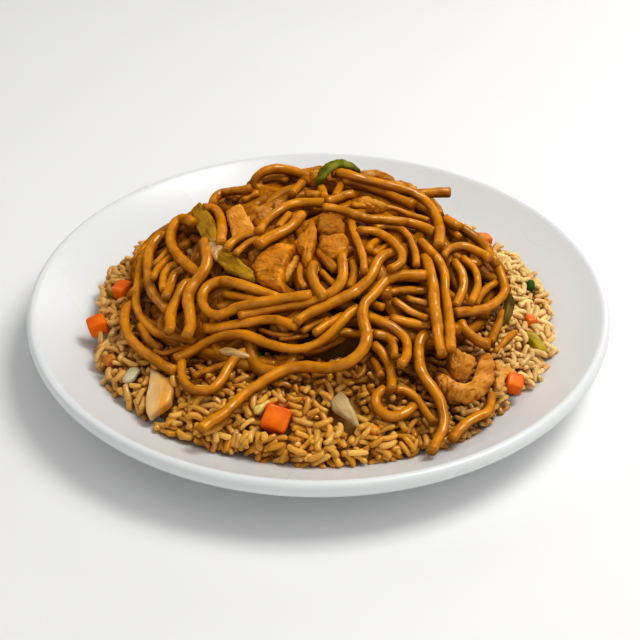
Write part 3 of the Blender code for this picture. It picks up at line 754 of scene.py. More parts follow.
# %% chunks
def chunk(name, node, place, size, heading, ground, rise, options, tilt=0.5, square=5.0,
          arch=0.0, lean=(0, 0)):
    """A squared-off ball: size along, across and up, set at a place on its ground."""
    x, y = place
    up = unit(slope_up(ground, x, y, tilt) + np.array((lean[0], -lean[1], 0.0)))
    angle = math.radians(heading)
    along = np.array([math.cos(angle), math.sin(angle), 0.0])
    along = unit(along - up * along.dot(up))
    across = np.cross(up, along)
    seat = np.array([x, y, float(ground(x, y))]) + up * (rise + size[2] / 2)
    out, high = rounded_profile(26, square)
    turn = np.linspace(0, 2 * math.pi, 44, endpoint=False)
    a = signed_power(np.cos(turn), 2.0 / square)
    b = signed_power(np.sin(turn), 2.0 / square)
    rings = (seat + (out[:, None] * a)[..., None] * along * size[0] / 2
             + (out[:, None] * b)[..., None] * across * size[1] / 2
             + (high[:, None] - arch * (out[:, None] * b) ** 2)[..., None] * up * size[2] / 2)
    return finish_piece(name, rings, seat, along, across, up, options, node)


# %% slabs
PIECE_STEPS_DOWN = (80.0, 5.0, 0.25)           # mm: from, to, and how far apart


def seen_on(pixels, ground, rise):
    """Points of the picture brought to rest on a ground plus a rise."""
    heights, spots = spots_down(sight_lines(pixels), *PIECE_STEPS_DOWN)
    under = heights <= ground(spots[..., 0], spots[..., 1]) + rise
    return spots[np.argmax(under, axis=0), np.arange(len(pixels))]


def slab(name, node, outline, ground, rise, thick, options, tilt=1.0, square=4.5, lean=(0, 0),
         fibre_deg=0.0, crown=0.12, smooth=64):
    """A slab below its own outline in the picture: outline shrunk by the profile, then down."""
    edge = smooth_through(outline + outline[:1], smooth + 1)[:-1]
    first = seen_on(edge.mean(0)[None], ground, rise)[0]
    up = slope_up(ground, first[0], first[1], tilt)
    up = unit(up + lean[0] * rightward + lean[1] * np.array([0.0, -1.0, 0.0]))
    lines = sight_lines(edge)
    reach = ((first - EYE) @ up) / (lines @ up)
    rim = EYE + lines * reach[:, None]
    seat = rim.mean(0)
    across_picture = unit(rightward - up * rightward.dot(up))
    aside = np.cross(up, across_picture)
    angle = math.radians(fibre_deg)
    along = across_picture * math.cos(angle) + aside * math.sin(angle)
    across = np.cross(up, along)
    out, high = rounded_profile(options.get("rows", 30), square)
    drop = (high - 1.0) / 2.0 * thick
    span = np.linalg.norm(rim - seat, axis=1).max()
    rings = seat + out[:, None, None] * (rim - seat)[None] + drop[:, None, None] * up
    swell = crown * thick * (1 - (np.linalg.norm(rings - seat, axis=-1) / span) ** 2)
    rings = rings + np.clip(swell, 0, None)[..., None] * up * (high > 0)[:, None, None]
    return finish_piece(name, rings, seat - up * thick / 2, along, across, up, options, node)


# %% looks
CHICKEN_LOOK = {"finish": CHICKEN, "slot": "chicken", "light": (0.90, 0.34, 0.018),
                "dark": (0.34, 0.08, 0.003), "ridge": 0.34, "period": 1.5, "lumps": 0.3,
                "crumb": 0.14, "crease": 0.5, "groove": 0.5}
CELERY_LOOK = {"finish": CELERY, "slot": "celery", "light": (0.42, 0.27, 0.015),
               "dark": (0.26, 0.16, 0.008), "ridge": 0.55, "period": 2.1, "lumps": 0.15,
               "crumb": 0.10, "groove": 1.5}
CARROT_LOOK = {"finish": CARROT, "slot": "carrot", "light": (0.92, 0.18, 0.003),
               "dark": (0.78, 0.10, 0.002), "ridge": 0.05, "lumps": 0.12, "crumb": 0.05}
ONION_LOOK = {"finish": ONION, "slot": "onion", "light": (0.72, 0.50, 0.24),
              "dark": (0.55, 0.34, 0.12), "ridge": 0.12, "period": 2.4, "lumps": 0.15,
              "crumb": 0.04}
GREEN_LOOK = {"finish": GREENS, "slot": "greens", "light": (0.22, 0.25, 0.02),
              "dark": (0.08, 0.10, 0.008), "ridge": 0.1, "lumps": 0.15}

# each of these gives its look with some values changed, as in carrot(light=(0.9, 0.2, 0.0))
chicken, celery, carrot, onion, greens = (
    functools.partial(dict, base)
    for base in (CHICKEN_LOOK, CELERY_LOOK, CARROT_LOOK, ONION_LOOK, GREEN_LOOK))
print("a carrot's light side:", carrot()["light"])

# %% [markdown]
# ## Vegetables in the bed of rice
#
# Carrot dice, onion and celery lie half sunk in the rice, so they come before the grains, and
# the grains then settle around them.

# %% carrot in the rice
RICE_BED = []


def in_rice(item):
    """Remembers a piece's footprint, so that no grain is laid over it."""
    corners = np.array([v.co for v in item.data.vertices]) / MM
    RICE_BED.append((corners[:, 0].mean(), corners[:, 1].mean(), np.ptp(corners[:, 0]) / 2,
                     np.ptp(corners[:, 1]) / 2))


in_rice(chunk("carrot_dice_front", "carrot_front", (-15.5, -83.5), (9.6, 9.0, 8.6), -22, rice_top,
    -2.6, carrot(light=(0.94, 0.17, 0.002)), square=8.0, lean=(0.1, 0.55)))
in_rice(chunk("carrot_dice_left_low", "carrot_left_low", (-88.8, -22.4), (7.8, 7.4, 6.6), 20,
    rice_top, -0.3, CARROT_LOOK, square=6.0))
in_rice(chunk("carrot_dice_left_high", "carrot_left_high", (-81.2, -1.8), (7.4, 6.6, 6.2), 60,
    rice_top, -0.5, CARROT_LOOK, square=6.0))
in_rice(chunk("carrot_bit_by_rim", "carrot_bit_left", (-80.8, -45.0), (4.8, 4.2, 4.2), 35,
    rice_top, 0.4, carrot(light=(0.62, 0.22, 0.03), dark=(0.45, 0.13, 0.015)), square=4.0))
in_rice(chunk("carrot_dice_right", "carrot_right", (74.0, -58.5), (6.4, 6.4, 6.6), 84, rice_top,
    -1.2, carrot(light=(0.92, 0.14, 0.002)), square=7.0, lean=(0.0, 0.25)))
in_rice(chunk("carrot_dice_back", "carrot_back_right", (72.8, 40.2), (7.0, 7.0, 7.0), 20, rice_top,
    -2.6, carrot(light=(0.80, 0.28, 0.06)), square=5.0))
print("carrot dice:", len(RICE_BED))

# %% celery, herb and onion in the rice
in_rice(chunk("celery_slice_right", "celery_right", (86.0, -33.5), (11.5, 4.8, 4.2), -62, rice_top,
    -0.2, celery(light=(0.50, 0.42, 0.012), dark=(0.36, 0.30, 0.01)), square=4.0, arch=0.3))
in_rice(chunk("herb_bit_right", "green_bit_right", (88.8, 4.2), (6.0, 3.2, 3.4), 85, rice_top, 1.4,
    greens(light=(0.03, 0.10, 0.01), dark=(0.01, 0.045, 0.006)), square=3.0))
in_rice(slab("onion_slice_left_cut", "onion_slice_left",
    D("365,600 432,628 500,680 562,690 568,770 555,850 536,905 475,950 405,998 350,1033 322,990 "
    "320,880 340,770 350,680"), rice_top, 4.0, 5.0, onion(light=(0.78, 0.50, 0.20),
    dark=(0.70, 0.40, 0.12), far_side=(0.86, 0.34, 0.012)), tilt=0.8, square=5.0, fibre_deg=80,
    lean=(0.1, 0.0)))
in_rice(slab("onion_petal_front_cut", "onion_petal_front",
    G("945,235 1000,170 1035,130 1080,165 1120,245 1170,335 1212,430 1198,462 1140,410 1070,370 "
    "985,320"), rice_top, 2.6, 2.4, onion(light=(0.50, 0.38, 0.18), dark=(0.34, 0.22, 0.07),
    rows=20), square=3.0, fibre_deg=-60, crown=0.5))
in_rice(chunk("onion_bit_by_rim", "onion_bit_left", (-71.6, -54.6), (8.4, 4.8, 2.6), 60, rice_top,
    0.0, onion(light=(0.66, 0.62, 0.42), dark=(0.42, 0.38, 0.20), crumb=0.16), square=3.6))
print("vegetables in the rice:", len(RICE_BED))

# %% [markdown]
# ## Fried rice
#
# The bed is about three thousand long grains over a dark, crumbly mound, sauce-brown and darker
# than the grains as painted shade in the gaps between them. One grain is a bent, tapered capsule
# of a few dozen faces. Each falls at a random place and heading, finds the heights under it on the
# map, and tilts to lie on them. They are three meshes, one for each tone, because three thousand
# objects would be slow and would say nothing more.

# %% rice bed under the grains
def dome(height_of, centre, half_x, half_y, rows, columns, base_of, seed, rough):
    """A closed mound: rows from the middle out on its top, then back in along its base."""
    out = np.concatenate([np.linspace(0.02, 1.0, rows), np.linspace(1.0, 0.02, rows // 2)])
    turn = np.linspace(0, 2 * math.pi, columns, endpoint=False)
    x = centre[0] + half_x * out[:, None] * np.cos(turn)
    y = centre[1] + half_y * out[:, None] * np.sin(turn)
    top = height_of(x, y)
    base = base_of(x, y)
    on_top = (np.arange(len(out)) < rows)[:, None]
    bumps = rough * unevenness(seed, 6.0, 2)(np.stack([x, y], -1))
    z = np.where(on_top, np.maximum(top + bumps, base + 0.2), base)
    return closed_skin(np.stack([x, y, z], -1))


BED_RADIUS = 87.0
BED_BELOW, BED_HIGHEST = 3.4, 28.4             # under the rice's top, and at most this high


def bed_top(x, y):
    """The crumbly bed: a few millimetres below the rice's top, thinning out at its edge."""
    inwards = (BED_RADIUS - np.hypot(x - RICE_CENTRE[0], y - RICE_CENTRE[1])) / 12.0
    floor = plate_inside(x, y)
    depth = np.minimum(rice_top(x, y) - BED_BELOW, BED_HIGHEST) - floor
    return floor + 0.5 + depth * np.clip(inwards, 0.0, 1.0) ** 0.7


rice_bed = make_piece("rice_bed", *dome(bed_top, RICE_CENTRE, BED_RADIUS, BED_RADIUS, 60, 220,
                                        lambda x, y: plate_inside(x, y) + 0.3, 31, 0.4),
                      RICE_DARK, "rice")
on_bed = np.hypot(plan_x - RICE_CENTRE[0], plan_y - RICE_CENTRE[1]) < BED_RADIUS
level = np.maximum(level, np.where(on_bed, bed_top(plan_x, plan_y), 0.0))
print("bed under the grains:", len(rice_bed.data.polygons), "faces")

# %% the outline of the noodles in the picture
OUTLINE = np.array([
    (106, 300), (118, 268), (132, 256), (140, 237), (147, 232), (167, 222), (190, 211),
    (198, 202), (212, 201), (214, 194), (230, 189), (248, 187), (250, 176), (257, 169),
    (273, 164), (297, 167), (312, 165), (327, 164), (340, 163), (357, 168), (392, 177),
    (417, 186), (437, 202), (441, 216), (460, 224), (478, 235), (489, 248), (500, 259),
    (509, 277), (512, 291)], float)
print("outline of the noodles:", len(OUTLINE), "points")

# %% where the grains lie
GRAIN_LENGTH, GRAIN_WIDTH = 6.8, 2.45          # mm
GRAIN_REACH, HEAP_COVERS = 93.5, 0.84          # the bed's edge, and where the heap hides grains
LEFT_END, RIGHT_END, LEFT_TOP = 135, 497, 254.0     # picture places where the outline ends
LEFT_PART = 300                                # left of this, grains keep well below the outline


def edge_of_rice(angle):
    """The ragged edge as a share of its mean radius: two waves and one bulge at the right."""
    waves = 1.0 + 0.018 * math.sin(5 * angle + 1) + 0.013 * math.sin(11 * angle)
    return waves + 0.035 * math.exp(-((angle - 5.9) / 0.22) ** 2)


def outline_limit(across):
    """How high in the picture a grain may show: not above the noodles' outline."""
    if LEFT_END < across < RIGHT_END:
        return np.interp(across, *OUTLINE.T) + 4.0
    return LEFT_TOP if across <= LEFT_END else 0.0


def lay_grains(count, top, seed):
    """Middles, headings, pitches and sizes of grains laid one after another on the map.

    A grain is laid only where the map is still below the rice's own height plus `top`.
    """
    source = np.random.default_rng(seed)
    lumpy = unevenness(seed + 50, 12.0, 2)
    laid = []
    for _ in range(count * 9):
        angle = source.uniform(0, 2 * math.pi)
        far = GRAIN_REACH * math.sqrt(source.uniform(0.30, 1.0))
        x = RICE_CENTRE[0] + far * edge_of_rice(angle) * math.cos(angle)
        y = RICE_CENTRE[1] + far * edge_of_rice(angle) * math.sin(angle)
        if heap_share(x, y) < HEAP_COVERS:
            continue
        at = seen_at(np.array([(x, y, rice_top(x, y) + 2.0)]))[0]
        limit = outline_limit(at[0])
        if at[0] < LEFT_PART and at[1] < limit + 5.0:
            continue
        lower = np.clip((limit - at[1]) / 2.0, 0.0, 3.2)
        if any(abs(x - px) < rx + 0.8 and abs(y - py) < ry + 0.8 for px, py, rx, ry in RICE_BED):
            continue
        heading = source.uniform(0, math.pi)
        half = GRAIN_LENGTH * source.uniform(0.36, 0.60)
        thick = GRAIN_WIDTH / 2 * source.uniform(0.86, 1.10)
        dx, dy = math.cos(heading), math.sin(heading)
        s = np.array([-0.75, -0.3, 0.3, 0.75]) * half
        under = read_map(level, x + s * dx, y + s * dy)
        if under.max() > rice_top(x, y) + top + 1.3 * lumpy(np.array((x, y))) - lower:
            continue
        pitch = np.clip((under[2:].max() - under[:2].max()) / half + source.normal(0, 0.24),
                        -0.8, 0.8)
        middle = (under - pitch * s).max() + 0.62 * thick
        path = np.column_stack([x + s * dx, y + s * dy, middle + pitch * s])
        draw_tube(path, thick)
        laid.append((x, y, middle, heading, math.atan(pitch), half, thick))
        if len(laid) == count:
            break
    return np.array(laid)


grains = np.vstack([lay_grains(2200, -1.2, 3), lay_grains(2400, 0.4, 4),
                    lay_grains(1600, 1.6, 6)])
print("grains:", len(grains))

# %% shapes of the grains
GRAIN_SIDES = 6
# one grain: places of its rings from end to end, and their radii, a little wider at one end
t = np.array([-0.98, -0.86, -0.5, 0.0, 0.5, 0.86, 0.98])
radius = np.array([0.52, 0.88, 1.0, 1.0, 0.98, 0.84, 0.48])
turn = 2 * math.pi * np.arange(GRAIN_SIDES) / GRAIN_SIDES
sag = chance.uniform(-0.10, 0.20, len(grains))
x, y, z, heading, pitch, half, thick = grains.T
ahead = np.stack([np.cos(heading) * np.cos(pitch), np.sin(heading) * np.cos(pitch),
                  np.sin(pitch)], -1)
side = np.stack([-np.sin(heading), np.cos(heading), np.zeros_like(x)], -1)
lifted = np.cross(ahead, side)
bent = chance.choice((-1, 1), len(grains)) * chance.uniform(0.02, 0.30, len(grains))
along_part = (t[None, :, None] * half[:, None, None])[..., None] * ahead[:, None, None, :]
wide = thick[:, None, None] * radius[None, :, None]
across_part = (wide * np.cos(turn) + (bent[:, None, None] * half[:, None, None]
                                      * (1 - t[None, :, None] ** 2)))[..., None]
up_part = (wide * np.sin(turn) * 0.86
           - (sag * half)[:, None, None] * t[None, :, None] ** 2)[..., None]
rings = (np.stack([x, y, z], -1)[:, None, None, :] + along_part
         + across_part * side[:, None, None] + up_part * lifted[:, None, None, :])
poles = np.stack([rings[:, 0].mean(1), rings[:, -1].mean(1)], 1)
points = np.concatenate([rings.reshape(len(grains), -1, 3), poles], 1)
per_grain = points.shape[1]
_, quads, caps = closed_skin(rings[0])
print("points, squares and caps of a grain:", per_grain, len(quads), len(caps))


# %% colours of the grains
def towards(colours, target, share):
    """Colours moved towards a target: the rest of the share old, the share new."""
    return colours * (1 - share) + np.array(target) * share


GOLD, PALE, BROWN = (0.73, 0.355, 0.046), (0.82, 0.46, 0.10), (0.59, 0.25, 0.018)
CREAM, GREYED = (0.89, 0.58, 0.215), (0.58, 0.38, 0.17)     # at the right, and at the left
NEAR_HEAP_BROWN, CURL_SHADOW = (0.40, 0.145, 0.008), (0.14, 0.042, 0.002)   # by the heap, and painted shadow at the curl's foot
CURL_SHADOW_X, CURL_SHADOW_Y, CURL_SHADOW_SPREAD = 48.0, -65.0, 13.0
rightness = np.clip((x - 35) / 45, 0, 1)
leftness = np.clip((-x - 55) / 35, 0, 1)
clump = unevenness(77, 8.0, 2)(np.stack([x, y], -1))
pick = np.clip(chance.uniform(size=len(grains)) + 0.22 * clump, 0.0, 1.0)
shade = np.where((pick < 0.24)[:, None], PALE, np.where((pick < 0.42)[:, None], BROWN, GOLD))
pale_mix = (np.array(CREAM) * chance.uniform(0.82, 1.08, len(grains))[:, None])
shade = towards(shade, pale_mix, rightness[:, None])
shade = towards(shade, GREYED, 0.5 * leftness[:, None])
# grains darker next to the heap's foot, except at the right
nearness = np.clip((1.13 - heap_share(x, y)) / 0.17, 0, 1)[:, None] * (1 - rightness[:, None])
shade = towards(shade, NEAR_HEAP_BROWN, 0.6 * nearness)
# painted shadow: grains at the curl's foot are darkened nearly to black-brown
away = ((x - CURL_SHADOW_X) ** 2 + (y - CURL_SHADOW_Y) ** 2) / (2 * CURL_SHADOW_SPREAD ** 2)
shade = towards(shade, CURL_SHADOW, 0.96 * np.exp(-away)[:, None])
shade = shade * chance.uniform(0.86, 1.12, (len(grains), 1))
pale_kind = (pick < 0.24) | (rightness > 0.5)
brown_kind = ~pale_kind & (pick < 0.55)
for title, kind in (("rice_grains_browned", brown_kind), ("rice_grains_pale", pale_kind),
                    ("rice_grains_golden", ~brown_kind & ~pale_kind)):
    firsts = (np.arange(kind.sum()) * per_grain)[:, None, None]
    item = make_piece(title, points[kind].reshape(-1, 3), (quads + firsts).reshape(-1, 4),
                      (caps + firsts).reshape(-1, 3), RICE, "rice",
                      np.repeat(shade[kind], per_grain, axis=0))
    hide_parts("fried_rice")
    print(title, kind.sum(), "grains,", kind.sum() * (2 * len(quads) + len(caps)), "triangles")
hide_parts("fried_rice")

# %% [markdown]
# ## How a noodle is laid
#
# A strand is drawn over the picture as a few points of its middle line. For each point the
# line of sight is followed down until it meets the place where the strand would rest: on the
# heap's own height, or on what already lies there. A cooked noodle bends, but not sharply, so
# its height along its length is then eased like a soft beam.

# %% skins of strands
END_RINGS = ((0.55, 0.02), (0.86, 0.06), (0.97, 0.22))      # how wide, and how far into the end


def ease_heights(z, steps, bend_radius):
    """A soft beam: no hollow tighter than the bend radius, then a short running mean."""
    gap = np.cumsum(steps)
    apart = gap[:, None] - gap[None, :]
    arch = apart ** 2 / (2 * bend_radius)
    raised = (z[None, :] - arch).max(axis=1)
    eased = (raised[None, :] + arch).min(axis=1)
    weight = np.exp(-(apart / 1.8) ** 2)
    return (weight @ eased) / weight.sum(axis=1)


def strand_rings(path, radius, sides, seed):
    """Rings round a path: radius and a slow turn vary along it, and cut ends are eased."""
    ahead = unit(np.gradient(path, axis=0))
    sides_of = [unit(np.cross(ahead[0], UPRIGHT))]
    for way in ahead[1:]:
        sides_of.append(unit(sides_of[-1] - way * sides_of[-1].dot(way)))
    sides_of = np.array(sides_of)
    lifted = np.cross(sides_of, ahead)
    along = np.cumsum(steps_along(path))
    source = np.random.default_rng(seed)
    phase = source.uniform(0, 6.28, 4)
    wobble = 1.0 + 0.035 * np.sin(along / 6.1 + phase[0]) + 0.018 * np.sin(along / 2.3 + phase[1])
    oval = 0.06 + 0.04 * np.sin(along / 9.0 + phase[2])
    turn = 2 * math.pi * np.arange(sides) / sides
    twist = phase[3] + along / 25.0
    size = radius * wobble[:, None] * (
        1 + oval[:, None] * np.cos(2 * (turn[None, :] - twist[:, None])))
    rings = (path[:, None, :] + (size * np.cos(turn))[..., None] * sides_of[:, None, :]
             + (size * np.sin(turn))[..., None] * lifted[:, None, :])
    ends = [[path[k] + share * (rings[k] - path[k]) + way * ahead[k] * radius * (inwards - 0.2)
             for share, inwards in END_RINGS] for k, way in ((0, 1), (-1, -1))]
    rings = np.concatenate([ends[0], rings, ends[1][::-1]])
    return rings, np.pad(along, len(END_RINGS), mode="edge")


# %% a strand with its colours
NOODLE_LIGHT, NOODLE_DARK = np.array((0.61, 0.198, 0.002)), np.array((0.085, 0.014, 0.0002))
strands_made = {"upper": [], "lower": []}


def add_strand(path, radius, tone, layer, seed, sides=14, step=1.25):
    """Makes a strand's skin with its colours and flow, and draws it into the map.

    Its colour goes from dark to light with its tone, a slow unevenness and how far each point
    faces up, which paints light on its upper side and shade on its underside, and is darker
    towards the back and the right.
    """
    length = steps_along(path).sum()
    path = smooth_through(path, max(6, int(length / step)))
    path = path + 0.10 * np.stack([unevenness(seed + n, 14.0)(path) for n in (11, 12, 13)], -1)
    rings, along = strand_rings(path, radius, sides, seed)
    swelling = 0.09 * unevenness(seed + 7, 4.6)(rings)
    rings = rings + (rings - rings.mean(1, keepdims=True)) / radius * swelling[..., None]
    points, quads, caps = closed_skin(rings)
    middles = np.vstack([np.repeat(rings.mean(1), sides, 0), path[:1], path[-1:]])
    # painted light and shade: points facing up take the light tint, points facing down the dark
    # one
    facing_up = np.clip((points - middles)[:, 2] / radius, -1, 1)
    slow = unevenness(seed, 14.0)(points) * 0.16 + unevenness(seed + 1, 4.0)(points) * 0.12
    share = tone - 0.26 + slow + 0.74 * facing_up - 0.10 * np.clip(points[:, 1] / 40, -0.8, 1)
    share = share - 0.06 * np.clip(points[:, 0] / 60, 0, 1)
    tint = NOODLE_DARK + (NOODLE_LIGHT - NOODLE_DARK) * np.clip(share, 0, 1.15)[:, None]
    around = np.linspace(0, 2 * math.pi * radius, sides)
    flow = np.column_stack([np.repeat(along, sides), np.tile(around, len(along))])
    flow = np.vstack([flow, [flow[0], flow[-1]]]) * MM
    strands_made[layer].append((points, quads, caps, tint, flow))
    draw_tube(smooth_through(path, max(8, int(length / 0.6))), radius)


# %% where a strand may lie
PRESS = 0.5                                    # how far crossing strands press together, mm
CURL_FLOOR = 14.0                              # mm, the lowest that a hidden curl may lie
SOFT_BEND = 24.0                               # mm, the tightest bend of a noodle, up or down


def laying_heights(x, y, radius, depth, rise):
    """Where a strand's middle may lie: its own depth in the heap, raised by what is there.

    The raise is held to a limit, as soft strands press into each other where they cross.
    """
    part = window(x, y, radius + 3)
    rest = np.full_like(level, NOTHING)
    rest[part] = rest_heights(level, radius, part) - PRESS
    own = np.maximum(heap_map - radius - depth, rice_top(plan_x, plan_y) + 0.6 * radius)
    return own + np.clip(rest - own, 0.0, rise)


def tucked(plan, z, radius, steps):
    """Heights of a hidden strand, softly lowered until it stays below the outline."""
    gap = np.cumsum(steps)
    arch = (gap[:, None] - gap[None, :]) ** 2 / 50.0
    for _ in range(5):
        seen = seen_at(np.column_stack([plan, z]))
        over = np.interp(seen[:, 0], *OUTLINE.T) + 2.0 - (seen[:, 1] - radius * 2.4)
        z = z - np.clip((over[None, :] / 2.0 - arch).max(axis=1), 0.0, None)
    return z


def lay_in_plan(route, radius, depth, tone, seed, sides, step, rise=2.0):
    """Lays a strand whose plan is known: it rests on the heap's height or on what is there."""
    plan = smooth_through(route, max(6, int(sum(np.hypot(*np.diff(route, axis=0).T)) / 1.2)))
    z = read_map(laying_heights(*plan.T, radius, depth, rise), *plan.T)
    steps = steps_along(plan)
    z = np.maximum(tucked(plan, ease_heights(z, steps, SOFT_BEND), radius, steps), CURL_FLOOR)
    add_strand(np.column_stack([plan, z]), radius, tone, "lower", seed, sides, step)


# %% a strand drawn over the picture
HIGHEST, LOWEST = 78.0, 6.0                    # mm, the heights that strands can have
STEPS_DOWN = (HIGHEST, 4.0, 0.4)
RISE = 4.6                                     # mm that a strand may climb over others
WIDTH_AT = 48.0                                # mm, the height where its width is measured
NEAR_MISS, FAR_BEHIND = 9.0, 14.0              # mm below a line of sight, and behind the heap


def lay(name, wide, depth, pixels, tone=0.6, stand=None, bend_radius=SOFT_BEND, lift=None):
    """Lays a strand drawn over the picture; wide is its width in the close-up.

    It lies where each line of sight first meets the heights that are allowed. Where a line
    only grazes the heap and would meet them far behind it, the nearest miss is taken.
    """
    pixels = np.asarray(pixels, float)
    count = max(8, int(np.hypot(*np.diff(pixels, axis=0).T).sum() / 2.6))
    pixels = smooth_through(pixels, count)
    lines = sight_lines(pixels)
    far_off = float(((at_height(lines, WIDTH_AT) - EYE) @ forward).mean())
    radius = wide / ENLARGED / 2.0 / ZOOM * far_off * 0.95
    seed = sum(ord(letter) * (k + 1) for k, letter in enumerate(name))
    if stand is not None:
        y = np.linspace(stand[0], stand[1], count)
        path = EYE + lines * ((y - EYE[1]) / lines[:, 1])[:, None]
        add_strand(path, radius, tone, "upper", seed)
        return
    reach = np.vstack([at_height(lines, np.full(count, z)) for z in (LOWEST, HIGHEST)])
    target = laying_heights(reach[:, 0], reach[:, 1], radius, depth, RISE)
    heights, spots = spots_down(lines, *STEPS_DOWN)
    gap = read_map(target, spots[..., 0], spots[..., 1]) - heights
    first = np.argmax(gap >= 0, axis=0)
    before = np.arange(len(heights))[:, None] <= first[None, :]
    near_heap = heap_share(spots[..., 0], spots[..., 1]) < 1.0
    missed = np.where(before & near_heap, gap, NOTHING)
    nearest = np.argmax(missed, axis=0)
    jump = spots[first, np.arange(count), 1] - spots[nearest, np.arange(count), 1]
    passes = (missed.max(axis=0) > -NEAR_MISS) & (jump > FAR_BEHIND)
    z = heights[np.where(passes, nearest, first), 0]
    if lift is not None:
        z = z + np.interp(np.linspace(0, 1, count), np.linspace(0, 1, len(lift)), lift)
    for _ in range(3):
        path = at_height(lines, z)
        steps = np.maximum(steps_along(path[:, :2]), 0.4)
        z = ease_heights(z, steps, bend_radius)
        path = at_height(lines, z)
        short = read_map(target, path[:, 0], path[:, 1]) - z
        z = z + np.clip(short, 0.0, 2.0) * 0.6
    z = ease_heights(z, steps, bend_radius)
    add_strand(at_height(lines, z), radius, tone, "upper", seed)


# %% [markdown]
# ## The inside of the heap
#
# Nobody sees the middle of the heap, but the dark gaps between the strands need something
# behind them. A low core, dark as painted shade in the colour of the sauce, stands there, and
# nearly a hundred curls wander over it as the lower layers. They are made by a random walk that
# turns back at the foot.

# %% core
CORE_BELOW = 11.5
CORE_HALF_X, CORE_HALF_Y = HEAP_HALF_X - 7, HEAP_HALF_Y - 7


def core_top(x, y):
    """Well below the heap, and lower where a strand on it would pass the picture's outline."""
    z = heap_top(x, y) - CORE_BELOW
    seen = seen_at(np.stack([x, y, z], -1))
    over = np.interp(seen[..., 0], *OUTLINE.T) + 14.0 - seen[..., 1]
    return z - 0.5 * np.clip(over, 0.0, 14.0)


core = make_piece("painted_shade_core", *dome(
    core_top, HEAP_CENTRE, CORE_HALF_X, CORE_HALF_Y, 40, 140,
    lambda x, y: np.full_like(x, 12.0), 5, 0.8), SHADE_CORE_FINISH, "noodle")
inner_share = np.hypot((plan_x - HEAP_CENTRE[0]) / CORE_HALF_X,
                       (plan_y - HEAP_CENTRE[1]) / CORE_HALF_Y)
level = np.maximum(level, np.where(inner_share < 1.0, core_top(plan_x, plan_y), 0.0))
print("core:", len(core.data.polygons), "faces")

# %% lower curls
STRIDE = 3.0                                   # mm between the points of a walk
LOWER_CURLS, CURL_SEED = 100, 100              # how many walks, and the first one's seed


def on_heap(far, angle):
    """A place in the plan: a share of the way from the heap's middle to its foot."""
    return (HEAP_CENTRE[0] + far * HEAP_HALF_X * math.cos(angle),
            HEAP_CENTRE[1] + far * HEAP_HALF_Y * math.sin(angle))


def wandering(seed, length, start, outermost=0.9, curl=0.05):
    """A walk in the plan: its heading drifts, and near the foot it turns along the foot."""
    source = np.random.default_rng(seed)
    point = np.array(start, float)
    heading = source.uniform(0, 2 * math.pi)
    bend = source.normal(0, curl)
    route = [point.copy()]
    for _ in range(int(length / STRIDE)):
        bend = 0.86 * bend + source.normal(0, curl * 0.55)
        heading += bend * STRIDE
        outwards = math.atan2((point[1] - HEAP_CENTRE[1]), (point[0] - HEAP_CENTRE[0]))
        if heap_share(*point) > outermost:
            inwards = 0.32 if math.sin(heading - outwards) >= 0 else -0.32
            heading += inwards * max(0.0, math.cos(heading - outwards) + 0.25)
        point = point + STRIDE * np.array([math.cos(heading), math.sin(heading)])
        if heap_share(*point) > (0.95 if point[0] > 40 else 0.985):
            break
        route.append(point.copy())
    return np.array(route)


# the lower curls get tones of 0 to 0.3, a darker tint, as painted shade below the upper strands
for k in range(LOWER_CURLS):
    angle = chance.uniform(0, 2 * math.pi)
    far = math.sqrt(chance.uniform(0.02, 0.86))
    walk = wandering(CURL_SEED + k, chance.uniform(45, 95), on_heap(far, angle))
    thick_mm, deep_mm = chance.uniform(2.3, 2.9), chance.uniform(4.6, 7.5)
    if len(walk) > 7:
        lay_in_plan(walk, thick_mm, deep_mm, chance.uniform(0.0, 0.3), CURL_SEED + k, 10,
                    2.2)
print("lower curls:", len(strands_made["lower"]))

# %% [markdown]
# ## The side that faces away
#
# The picture doesn't show the back of the heap, but the dish is looked at from all sides. Its
# strands are curls of the same kind, laid in the plan at the height of the upper layer.

# %% strands at the back and the sides
def curls_behind(source, numbers, sector, reach, inner, allowed):
    """Curls that start in a sector of the heap's back and stop where they aren't allowed."""
    for k in numbers:
        angle = math.radians(source.uniform(*sector))
        far = source.uniform(*reach)
        start = on_heap(far, angle)
        if start[1] < 40 and abs(start[0]) < inner:
            continue
        walk = wandering(k, source.uniform(40, 80), start, 0.92, 0.07)
        behind = (walk[:, 1] > 38) | allowed(*walk.T)
        if behind[:8].all():
            walk = walk[:int(np.argmax(~np.r_[behind, False]))]
        if behind[:8].all() and len(walk) > 5:
            lay_in_plan(walk, source.uniform(2.5, 3.0), source.uniform(4.2, 5.4),
                        source.uniform(0.4, 0.75), k, 12, 1.8, rise=3.0)


curls_behind(chance, range(300, 346), (12, 168), (0.42, 0.93), 62,
             lambda x, y: (heap_share(x, y) > 0.86) & (y > 12))
curls_behind(np.random.default_rng(21), range(400, 426), (6, 60), (0.55, 0.94), 46,
             lambda x, y: (x > 44) & (y > 6))
print("with the back:", len(strands_made["lower"]))

# %% [markdown]
# ## Strands seen between others
#
# These strands show only in part, below the ones on top. Their depth says how far under the
# heap's own height their upper side runs.

